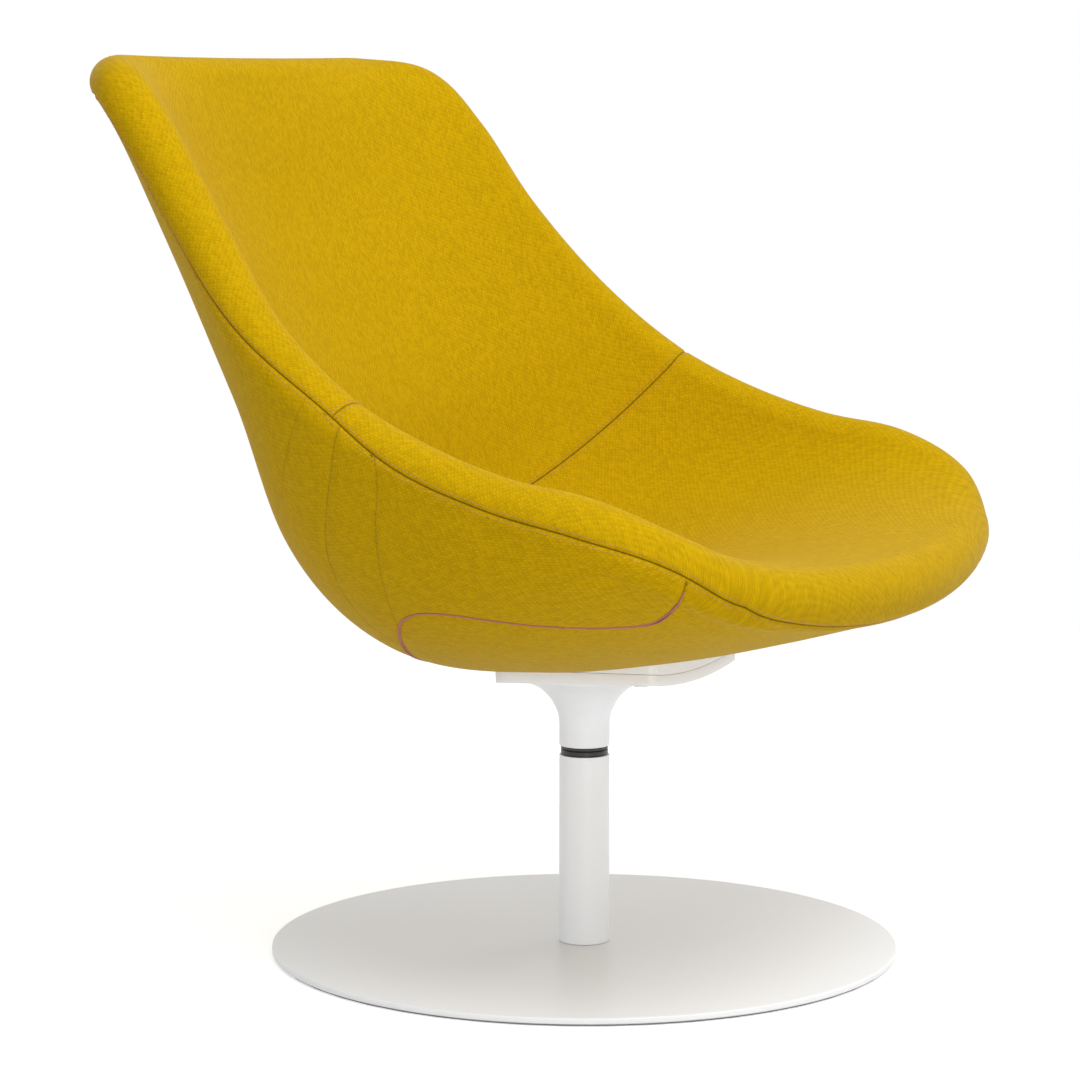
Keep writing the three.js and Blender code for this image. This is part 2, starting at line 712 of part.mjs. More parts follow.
// Bracket, wedge, steel plate with welded nuts, and their screws
function makeMount() {
  const tilt = mountMatrix();
  const seatTilt = seatMatrix();
  const bracketBottom = bracketDrop;
  const bracketTop = bracketDrop + bracketThickness;
  const headSeat = bracketTop - screwHeadHeight - 2 * fitGap;

  const pad = rod(headTopRadius, fitGap, bracketBottom + bracketThickness / 2, roundSides);
  let bracket = arcPlate(mountWidth, mountDepth, bracketBottom, bracketThickness);
  bracket = bracket.add(solidOf(pad));
  const recessTop = bracketBottom + arcRise(screwSpacingX / 2) + counterboreSkin;
  screwCircle().forEach(([x, y]) => {
    bracket = bracket.subtract(solidOf(moved(rod(screwHole, -bigCut, bigCut), x, y, 0)));
    bracket = bracket.subtract(
      solidOf(moved(rod(screwHeadRadius + fitGap, headSeat, bigCut), x, y, 0)),
    );
  });
  seatScrewPlaces().forEach(([x, y]) => {
    bracket = bracket.subtract(solidOf(moved(rod(screwHole, -bigCut, bigCut), x, y, 0)));
    bracket = bracket.subtract(
      solidOf(moved(rod(screwHeadRadius + fitGap, -bigCut, recessTop), x, y, 0)),
    );
  });
  add("mount_bracket", "white_paint", geometryOf(moveBy(bracket, tilt)));
  screwCircle().forEach(([x, y], k) => {
    const screw = capScrew(screwRadius, headScrewLength, screwHeadRadius, screwHeadHeight);
    const placed = screw.rotateX(Math.PI).translate(x, y, headSeat + fitGap).applyMatrix4(tilt);
    add(`head_screw_${k + 1}`, "steel", placed);
  });

  const thick = arcPlate(mountWidth, mountDepth, bracketTop + fitGap, mountArc / 4);
  const below = arcPlate(2 * mountWidth, 2 * mountDepth, -mountArc / 4, mountArc / 4);
  let spacer = moveBy(thick, tilt).intersect(moveBy(below, seatTilt));
  const [plateWidth, plateDepth] = [mountWidth - 2 * plateInset, mountDepth - 2 * plateInset];
  let plate = moveBy(arcPlate(plateWidth, plateDepth, fitGap, plateThickness), seatTilt);
  const shanks = seatScrewPlaces().map(([x, y]) => {
    const onSeat = new THREE.Vector3(x, y, 0).applyMatrix4(seatTilt);
    onSeat.applyMatrix4(tilt.clone().invert());
    const plateTop = onSeat.z + arcRise(x) + plateThickness;
    const nut = rod(nutRadius, plateTop - plateThickness / 2, plateTop + nutHeight);
    plate = plate.add(solidOf(moved(nut, x, y, 0), tilt));
    return [x, y, plateTop + nutHeight - 2 * fitGap];
  });
  shanks.forEach(([x, y, top], k) => {
    const hole = solidOf(moved(rod(screwHole, -bigCut, bigCut), x, y, 0), tilt);
    spacer = spacer.subtract(hole);
    plate = plate.subtract(hole);
    const length = top - (recessTop - fitGap);
    const screw = capScrew(screwRadius, length, screwHeadRadius, screwHeadHeight);
    screw.translate(x, y, recessTop - fitGap).applyMatrix4(tilt);
    add(`seat_screw_${k + 1}`, "steel", screw);
  });
  add("mount_spacer", "white_plastic", geometryOf(spacer));
  add("frame_plate", "steel", geometryOf(plate));
}

// Spaces that the mount needs in the foam and in the cover under the seat
function mountSpace() {
  const tilt = mountMatrix();
  const seatTilt = seatMatrix();
  const top = plateThickness + 2 * fitGap;
  const [width, depth] = [mountWidth + 2 * fitGap, mountDepth + 2 * fitGap];
  const column = arcPlate(width, depth, -mountArc / 4, mountArc / 2);
  const under = arcPlate(2 * mountWidth, 2 * mountDepth, -mountArc / 4, mountArc / 4 + top);
  let space = moveBy(column, tilt).intersect(moveBy(under, seatTilt));
  seatScrewPlaces().forEach(([x, y]) => {
    const onSeat = new THREE.Vector3(x, y, 0).applyMatrix4(seatTilt);
    onSeat.applyMatrix4(tilt.clone().invert());
    const nutTop = onSeat.z + arcRise(x) + plateThickness + nutHeight + fitGap;
    const pocket = rod(nutRadius + nutClearance, 0, nutTop, pocketSides);
    space = space.add(solidOf(moved(pocket, x, y, 0), tilt));
  });
  return space;
}

// Steel tubes: one bent main tube and two cross rails
const railFrontStation = 9.05;
const railRearStation = 5.4;
const railReachShare = 0.72;
const seatTubeShares = [[0.7, 9.3], [0.68, 8.8], [0.67, 8.1], [0.67, 7.3], [0.68, 6.5], [0.7, 5.8]];
const backTubeShares = [[0.72, 5.2], [0.74, 4.3], [0.74, 3.2], [0.73, 2.1], [0.68, 1.45], [0.5, 1.05]];

function frameTubes(grow) {
  const [[endShare, endStation]] = seatTubeShares;
  const side = [
    [endShare, endStation + grow / stationLength(endStation), -frameSeatDrop],
    ...seatTubeShares.slice(1).map(([u, v]) => [u, v, -frameSeatDrop]),
    ...backTubeShares.map(([u, v]) => [u, v, 0]),
  ];
  const topMiddle = [0, 1, 0];
  const mirrored = side.map(([u, v, lift]) => [-u, v, lift]).reverse();
  const radius = frameTubeRadius + grow;
  const path = shellPath([...side, topMiddle, ...mirrored]);
  const rail = (v) => {
    const places = [-1, -0.5, 0, 0.5, 1].map((s) => [s * railReachShare, v, -frameSeatDrop]);
    return solidOf(tubeAlong(shellPath(places), radius, railSteps));
  };
  const mainTube = solidOf(tubeAlong(path, radius, tubeSteps));
  return { mainTube, front: rail(railFrontStation), rear: rail(railRearStation) };
}

// A bent flat bar from rail to rail, over the steel plate
function frameBar(side, grow) {
  const x = (side * screwSpacingX) / 2 - side * (nutRadius + barWidth / 2 + 2 * fitGap + seamGap);
  const onMiddle = (v) => {
    const share = Math.abs(x) / (shellHalfWidth * stationAt(v)[0]);
    const place = middlePoint(share, v);
    return place.addScaledVector(middleNormal(share, v), -frameSeatDrop);
  };
  const seatTilt = seatMatrix();
  const lift = arcRise(Math.abs(x) + barWidth / 2) + plateThickness + 2 * fitGap + barThickness / 2;
  const onPlate = (y) => new THREE.Vector3(x, y, lift).applyMatrix4(seatTilt);
  const reach = mountDepth / 2 - 2 * plateInset;
  const path = [
    onMiddle(railFrontStation),
    onPlate(mountShift - reach),
    onPlate(mountShift + reach),
    onMiddle(railRearStation),
  ];
  const half = barThickness / 2 + grow;
  const upper = path.map((p) => new THREE.Vector2(p.y, p.z + half));
  const lower = path.map((p) => new THREE.Vector2(p.y, p.z - half)).reverse();
  const width = barWidth + 2 * grow;
  const bar = new THREE.ExtrudeGeometry(new THREE.Shape([...upper, ...lower]), {
    depth: width,
    steps: 1,
    bevelEnabled: false,
  });
  bar.rotateX(Math.PI / 2).rotateZ(Math.PI / 2).translate(x - width / 2, 0, 0);
  return solidOf(bar);
}

// A webbing strap across the main tube, on the sitter's side of it
function strap(tubeShare, v, drop, grow) {
  const lift = frameTubeRadius + fitGap + strapThickness / 2 - drop;
  const end = strapEndShare + grow / shellHalfWidth;
  const half = strapThickness / 2 + grow;
  const span = (strapWidth / 2 + grow) / stationLength(v);
  const across = [-1 - end, -1, -0.5, 0, 0.5, 1, 1 + end].map((s) => s * tubeShare);
  const points = [];
  across.forEach((u) => {
    [v - span, v + span].forEach((station) => {
      const normal = middleNormal(u, station);
      [half, -half].forEach((side) => {
        points.push(middlePoint(u, station).addScaledVector(normal, lift + side));
      });
    });
  });
  const triangles = [];
  const face = (a, b, c, d) => triangles.push([a, b, c], [a, c, d]);
  const last = 4 * (across.length - 1);
  for (let s = 0; s < last; s += 4) {
    const n = s + 4;
    face(s, s + 2, n + 2, n);
    face(s + 1, n + 1, n + 3, s + 3);
    face(s, n, n + 1, s + 1);
    face(s + 2, s + 3, n + 3, n + 2);
  }
  face(0, 1, 3, 2);
  face(last, last + 2, last + 3, last + 1);
  return solidOf(geometryFrom(points, triangles));
}

// The straps cross the main tube at three of its seat places and three of its back places
const seatStraps = [seatTubeShares[4], seatTubeShares[3], seatTubeShares[2]];
const backStraps = [backTubeShares[3], backTubeShares[2], backTubeShares[1]];

function straps(grow) {
  return [
    ...seatStraps.map(([u, v], k) => [`seat_strap_${k + 1}`, strap(u, v, frameSeatDrop, grow)]),
    ...backStraps.map(([u, v], k) => [`back_strap_${k + 1}`, strap(u, v, 0, grow)]),
  ];
}

function makeFrame() {
  const tubes = frameTubes(0);
  const wide = frameTubes(fitGap);
  add("frame_main_tube", "steel", geometryOf(tubes.mainTube));
  const front = tubes.front.subtract(wide.mainTube);
  const rear = tubes.rear.subtract(wide.mainTube);
  add("frame_front_rail", "steel", geometryOf(largest(front)));
  add("frame_rear_rail", "steel", geometryOf(largest(rear)));
  [["left", 1], ["right", -1]].forEach(([name, side]) => {
    const bar = frameBar(side, 0).subtract(wide.front).subtract(wide.rear);
    add(`frame_bar_${name}`, "steel", geometryOf(largest(bar)));
  });
  straps(0).forEach(([name, solid]) => {
    const clear = solid.subtract(wide.mainTube).subtract(wide.rear).subtract(wide.front);
    add(name, "webbing", geometryOf(largest(clear)));
  });
}

function largest(solid) {
  return solid.decompose().sort((a, b) => b.volume() - a.volume())[0];
}

function frameSpace() {
  const wide = frameTubes(2 * fitGap);
  let space = wide.mainTube.add(wide.front).add(wide.rear);
  [1, -1].forEach((side) => {
    space = space.add(frameBar(side, 2 * fitGap));
  });
  straps(2 * fitGap).forEach(([, solid]) => {
    space = space.add(solid);
  });
  return space.add(mountSpace());
}

function makeFoam(skin) {
  const space = frameSpace();
  add("foam_back", "foam", geometryOf(largest(solidOf(foamGeometry(skin, false)).subtract(space))));
  add("foam_seat", "foam", geometryOf(largest(solidOf(foamGeometry(skin, true)).subtract(space))));
}

function makeCovers(skin) {
  const onOuter = (f) => f.sheet === "outer" || (f.sheet === "roll" && f.share > rimSeamShare);
  const onInner = (f) => !onOuter(f);
  const inTurn = (f) => {
    const across = (Math.abs(f.u) - zipSideShare) / (zipTurnEndShare - zipSideShare);
    return across < (f.v - zipTurnShare) / (zipFrontShare - zipTurnShare);
  };
  const isUnder = (f) =>
    f.v > zipFrontShare || (f.v > zipRearShare && (Math.abs(f.u) < zipSideShare || inTurn(f)));
  const isGore = (f, side) =>
    f.v > crossSeamShare && f.v < goreEndShare && side * f.u > zipSideShare;
  const isSide = (f, side) => f.v > goreEndShare && side * f.u > zipSideShare && !isUnder(f);
  const isBack = (f) =>
    !isUnder(f) && !isGore(f, 1) && !isGore(f, -1) && !isSide(f, 1) && !isSide(f, -1);
  const zips = zipRibbon(skin, 1, zipGap).add(zipRibbon(skin, -1, zipGap));
  const cut = (wanted) => solidOf(panelGeometry(skin, wanted, 0, coverThickness)).subtract(zips);
  const panel = (name, wanted) => add(name, "yellow_wool", geometryOf(largest(cut(wanted))));
  panel("cover_inner_back", (f) => onInner(f) && f.v < crossSeamShare);
  panel("cover_inner_seat", (f) => onInner(f) && f.v > crossSeamShare);
  panel("cover_outer_back", (f) => onOuter(f) && isBack(f));
  [["left", 1], ["right", -1]].forEach(([name, side]) => {
    panel(`cover_gore_${name}`, (f) => onOuter(f) && isGore(f, side));
    panel(`cover_side_${name}`, (f) => onOuter(f) && isSide(f, side));
  });
  const under = cut((f) => onOuter(f) && isUnder(f)).subtract(mountSpace());
  add("cover_under", "yellow_wool", geometryOf(largest(under)));
}

// The places of one half of the zip: along the belly's rear, forward along the side, out to the rim
function zipPlaces(skin, side) {
  const rear = rowStationShares.indexOf(zipRearShare);
  const front = rowStationShares.indexOf(zipFrontShare);
  const middle = columnShares.indexOf(0);
  const corner = columnShares.indexOf(side * zipSideShare);
  const turn = rowStationShares.indexOf(zipTurnShare);
  const turnEnd = columnShares.indexOf(side * zipTurnEndShare);
  const edge = columnShares.indexOf(side);
  const places = [];
  for (let j = middle; j !== corner; j += side) places.push(skin.outer[rear][j]);
  for (let i = rear; i <= turn; i += 1) places.push(skin.outer[i][corner]);
  for (let j = turnEnd; j !== edge; j += side) places.push(skin.outer[front][j]);
  const ring = skin.ringAt(front, side);
  places.push(ring[ring.length - 1], ring[rollAngleShares.indexOf(rimSeamShare)]);
  return places.map((id) => skin.vertices[id]);
}

// The frame of a zip place: the way along the zip, the way out of the fabric and the way across
function zipFrame(places, k) {
  const before = places[Math.max(k - 1, 0)](0);
  const after = places[Math.min(k + 1, places.length - 1)](0);
  const along = after.sub(before).normalize();
  const out = places[k](0).sub(places[k](1)).normalize();
  const across = out.clone().cross(along).normalize();
  return { along, out, across };
}

// One half of the zip as a ribbon let into the seam
function zipRibbon(skin, side, grow) {
  const places = zipPlaces(skin, side);
  const points = [];
  const last = places.length - 1;
  places.forEach((place, k) => {
    const { along, out, across } = zipFrame(places, k);
    const end = (k === 0 ? seamGap - grow : 0) + (k === last ? grow - seamGap : 0);
    const top = place(0).addScaledVector(out, zipProud + grow).addScaledVector(along, end);
    const bottom = top.clone().addScaledVector(out, -zipThickness - 2 * grow);
    [top, bottom].forEach((p) => {
      [1, -1].forEach((s) => {
        points.push(p.clone().addScaledVector(across, s * (zipWidth / 2 + grow)));
      });
    });
  });
  const triangles = [];
  const face = (a, b, c, d) => triangles.push([a, b, c], [a, c, d]);
  for (let s = 0; s < 4 * last; s += 4) {
    const n = s + 4;
    face(s, s + 1, n + 1, n);
    face(s + 2, n + 2, n + 3, s + 3);
    face(s, n, n + 2, s + 2);
    face(s + 1, s + 3, n + 3, n + 1);
  }
  face(0, 2, 3, 1);
  face(4 * last, 4 * last + 1, 4 * last + 3, 4 * last + 2);
  return solidOf(geometryFrom(points, triangles));
}

// A slider with its pull, parked where the two halves meet at the belly's rear
function zipSlider(skin, side) {
  const places = zipPlaces(skin, side);
  const { along, out, across } = zipFrame(places, 1);
  const [l, h, t] = [sliderLength / 2, sliderHeight, pullThickness];
  const outline = [
    [-l, 0],
    [l, 0],
    [l, h / 2],
    [l / 2, h],
    [l / 2, h + t],
    [-pullLength, h + t],
    [-pullLength, h],
    [-l / 2, h],
    [-l, h / 2],
  ].map(([x, y]) => new THREE.Vector2(x, y));
  const body = new THREE.ExtrudeGeometry(new THREE.Shape(outline), {
    depth: sliderWidth,
    steps: 1,
    bevelEnabled: false,
  });
  body.translate(0, zipProud + fitGap, -sliderWidth / 2);
  const turn = new THREE.Matrix4().makeBasis(along, out, along.clone().cross(out));
  return body.applyMatrix4(turn.setPosition(places[1](0)));
}

function makeZips(skin) {
  [["left", 1], ["right", -1]].forEach(([name, side]) => {
    add(`zip_${name}`, "zip_tape", geometryOf(zipRibbon(skin, side, 0)));
    add(`zip_slider_${name}`, "steel", zipSlider(skin, side));
  });
}

makeBase();
makeSwivel();
makeHead();
makeMount();
makeFrame();
const skin = buildSkin();
makeFoam(skin);
makeCovers(skin);
makeZips(skin);

export default group;
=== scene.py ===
import json
import math
from operator import attrgetter

import bmesh
import bpy
import numpy as np
from bpy.props import FloatProperty, FloatVectorProperty, PointerProperty
from mathutils import Matrix, Vector
from mathutils.bvhtree import BVHTree


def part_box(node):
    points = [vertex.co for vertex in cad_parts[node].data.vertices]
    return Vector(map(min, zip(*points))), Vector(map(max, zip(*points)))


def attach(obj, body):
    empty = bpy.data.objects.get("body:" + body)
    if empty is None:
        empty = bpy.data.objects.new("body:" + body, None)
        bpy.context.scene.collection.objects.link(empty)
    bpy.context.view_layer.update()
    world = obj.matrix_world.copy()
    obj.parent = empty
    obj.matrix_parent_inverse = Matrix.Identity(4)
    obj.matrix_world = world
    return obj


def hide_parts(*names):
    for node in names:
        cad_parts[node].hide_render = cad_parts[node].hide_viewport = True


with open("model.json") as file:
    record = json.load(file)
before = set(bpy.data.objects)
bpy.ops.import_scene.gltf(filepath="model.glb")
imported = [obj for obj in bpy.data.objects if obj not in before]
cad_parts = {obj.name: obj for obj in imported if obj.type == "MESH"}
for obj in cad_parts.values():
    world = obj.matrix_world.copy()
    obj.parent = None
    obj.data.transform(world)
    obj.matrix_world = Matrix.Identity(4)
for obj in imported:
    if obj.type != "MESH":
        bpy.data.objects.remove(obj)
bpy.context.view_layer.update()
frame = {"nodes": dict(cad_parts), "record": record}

bl_info = {
    "name": "Pedestal swivel armchair",
    "version": (1, 0, 0),
    "blender": (4, 5, 0),
    "location": "3D View > Sidebar > Armchair",
    "description": "Upholsters and finishes a bucket armchair on a swivel column",
    "category": "Object",
}

# Heights and radii that the measured frame gives, in metres
HEAD_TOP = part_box("column_head")[1].z
HEAD_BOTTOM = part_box("column_head")[0].z
TUBE_LOW, TUBE_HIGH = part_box("column_tube")
SPINDLE_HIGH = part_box("spindle")[1]
PLATE_LOW, PLATE_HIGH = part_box("base_plate")

# The bucket's stations, from the back's top edge to the seat's front edge. Each row: rim half-width,
# rim y, rim height, centre y, centre height (shares of the overall sizes), flare of the cross curve
# (share of a right angle), rim roll and extra foam under the seat (shares).
STATION_SHARES = np.array([
    [0.64, 0.962, 1.0, 0.99, 0.996, 0.33, 1.0, 0],
    [0.79, 0.846, 0.978, 0.96, 0.911, 0.4, 1.0, 0],
    [0.834, 0.733, 0.881, 0.897, 0.734, 0.49, 1.0, 0],
    [0.862, 0.59, 0.718, 0.785, 0.541, 0.58, 1.0, 0],
    [0.93, 0.413, 0.547, 0.646, 0.334, 0.67, 1.04, 0],
    [0.966, 0.205, 0.412, 0.538, 0.099, 0.76, 1.08, 0.27],
    [0.983, -0.005, 0.33, 0.313, -0.012, 0.82, 1.08, 0.73],
    [0.997, -0.231, 0.272, 0.0, 0.0, 0.867, 1.12, 1.0],
    [1.0, -0.436, 0.239, -0.32, 0.038, 0.82, 1.25, 0.9],
    [0.949, -0.597, 0.19, -0.595, 0.072, 0.71, 1.2, 0.67],
    [0.79, -0.71, 0.126, -0.815, 0.084, 0.556, 1.12, 0.17],
])
LAST_STATION = len(STATION_SHARES) - 1
LOWEST_STATION = 7
CROSS_SEAM_STATION = 5.15
# Where the rim seam lies on the roll at each station: 0 faces the sitter, 1 is the underside
RIM_SEAM_TURNS = np.array([[0.78, 0.92, 0.97, 0.96, 0.78, 0.70, 0.85, 0.84, 0.76, 0.60, 0.56]]).T
FRONT_SEAM_TURN = 0.9
# How far from its corners, at the first and the last station, the rim is bent round
CORNER_REACH = {0: 0.020, LAST_STATION: 0.036}

# Fineness of the fabric skin, in cells
SKIN_COLUMNS = 144
SKIN_ROWS = 200
ROLL_RINGS = 18

# The value of a place that is too far from a seam to matter, a length too small to matter, and the
# least length that is divided by
FAR = 1.0
TINY = 1e-6
LEAST_LENGTH = 1e-12


def length(name, default, description):
    """A length in metres that a user can change."""
    return FloatProperty(name=name, description=description, default=default, unit="LENGTH")


def share(name, default, description):
    """A share from 0 to 1 that a user can change."""
    return FloatProperty(
        name=name, description=description, default=default, min=0, max=1, subtype="FACTOR"
    )


def angle(name, degrees, description):
    """An angle that a user can change."""
    return FloatProperty(name=name, description=description, default=math.radians(degrees), subtype="ANGLE")


def number(name, default, description):
    """A plain number that a user can change."""
    return FloatProperty(name=name, description=description, default=default)


def colour(name, default, description):
    """A linear colour that a user can change."""
    return FloatVectorProperty(
        name=name, description=description, default=default, size=3, min=0, max=1, subtype="COLOR"
    )


def slot_colour(slot):
    """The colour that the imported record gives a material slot."""
    for row in frame["record"]["materials"]:
        if row["slot"] == slot:
            return tuple(row["base_color"][:3])
    raise KeyError(f"the record has no slot {slot}")


class BucketSizes(bpy.types.PropertyGroup):
    """Sizes of the upholstered bucket"""

    half_width: length("Half width", 0.356, "Half the distance between the arms' rim centre lines")
    reach: length("Reach", 0.390, "Front-to-back scale, measured from the column's axis")
    rise: length("Rise", 0.497, "Rise of the rim from the seat to the top of the back")
    belly_lift: length("Belly lift", 0.015, "Height of the lowest fabric above the column head")
    rim_roll: length("Rim roll", 0.024, "Radius of the rolled rim at the back")
    seat_pad: length("Seat pad", 0.030, "Extra depth of foam under the middle of the seat")
    cover: length("Cover", 0.0022, "Thickness of the cover with its lining")


class SeamSizes(bpy.types.PropertyGroup):
    """Sizes of the seams and their stitches"""

    depth: length("Depth", 0.0017, "How far a seam is drawn into the foam")
    width: length("Width", 0.0042, "Half the width of the fold beside a seam")
    gap: length("Gap", 0.0002, "Half the gap between two panels")
    stitch_offset: length("Stitch offset", 0.0036, "From the seam to its row of top stitches")
    stitch_length: length("Stitch length", 0.0027, "Length of one visible stitch")
    stitch_pitch: length("Stitch pitch", 0.0044, "From one stitch to the next")
    thread: length("Thread", 0.00034, "Radius of the sewing thread")


class ZipSizes(bpy.types.PropertyGroup):
    """Sizes of the zip round the belly"""

    tape: length("Tape", 0.011, "Width of the zip's tape")
    cord: length("Cord", 0.0009, "Radius of one row of coils")
    tooth: length("Tooth", 0.0016, "Length of one coil")
    spread: share("Spread", 0.7, "How far out in the opening the rows of coils lie")
    slider: length("Slider", 0.011, "Length of the slider's body")
    pull: length("Pull", 0.020, "Length of the slider's pull")


class Finishes(bpy.types.PropertyGroup):
    """Colours and surface finishes"""

    wool: colour("Wool", (0.46, 0.28, 0.0012), "Colour of the upholstery wool")
    yarn: length("Yarn", 0.0026, "Width of one yarn of the weave")
    wool_sheen: share("Wool sheen", 0.16, "How much the wool's fibres glow at a glancing view")
    zip_tape: colour("Zip", slot_colour("zip_tape"), "Colour of the zip and the top stitching")
    paint: colour("Paint", (0.85, 0.865, 0.885), "Colour of the powder-coated steel")
    paint_roughness: share("Paint roughness", 0.38, "Roughness of the powder coat")
    black: colour("Black plastic", slot_colour("black_plastic"), "Colour of the bearing rings")
    steel: colour("Steel", slot_colour("steel"), "Colour of bare steel")


class StageSizes(bpy.types.PropertyGroup):
    """Camera and light"""

    azimuth: angle("Azimuth", -64, "Where the camera stands")
    height: length("Height", 0.825, "Height of the camera")
    distance: length("Distance", 3.458, "From the column's axis to the camera")
    yaw: angle("Yaw", -0.705, "Turn of the camera off the axis")
    pitch: angle("Pitch", 7.07, "Tilt of the camera below level")
    lens: number("Lens", 122.13, "Focal length in millimetres")
    ambient: number("Ambient", 0.70, "Strength of the light from all round")
    key: number("Key", 50.0, "Power of the large lamp above the camera's side")
    side: number("Side", 13.0, "Power of the lamp on the far side")
    fill: number("Fill", 8.0, "Power of the low lamp beside the camera")


# The bucket's surface

def cubic_weights(t):
    """Weights of four neighbours for a place t between the middle two."""
    return 0.5 * np.stack([
        -t + 2 * t**2 - t**3,
        2 - 5 * t**2 + 3 * t**3,
        t + 4 * t**2 - 3 * t**3,
        t**3 - t**2,
    ])


def cell_of(place, count):
    """The row below each place, and the weights of the four rows round it."""
    place = np.clip(place, 0, count - 1)
    row = np.minimum(place.astype(int), count - 2)
    return row, cubic_weights(place - row)


def widened(table):
    """The table with one reflected row more at each end."""
    return np.concatenate([2 * table[:1] - table[1:2], table, 2 * table[-1:] - table[-2:-1]])


def between_rows(table, place):
    """A smooth curve through the rows of a table."""
    row, weights = cell_of(np.asarray(place, float), len(table))
    wide = widened(table)
    return sum(weight[:, None] * wide[row + k] for k, weight in enumerate(weights))


def between_cells(grid, row_place, column_place):
    """A smooth surface through a grid of vectors."""
    row, row_weights = cell_of(row_place, grid.shape[0])
    column, column_weights = cell_of(column_place, grid.shape[1])
    wide = widened(widened(grid).swapaxes(0, 1)).swapaxes(0, 1)
    total = np.zeros((len(row), grid.shape[2]))
    for a, row_weight in enumerate(row_weights):
        for b, column_weight in enumerate(column_weights):
            total += (row_weight * column_weight)[:, None] * wide[row + a, column + b]
    return total


def unit(vectors):
    """The vectors at length 1."""
    return vectors / np.maximum(np.linalg.norm(vectors, axis=-1, keepdims=True), LEAST_LENGTH)


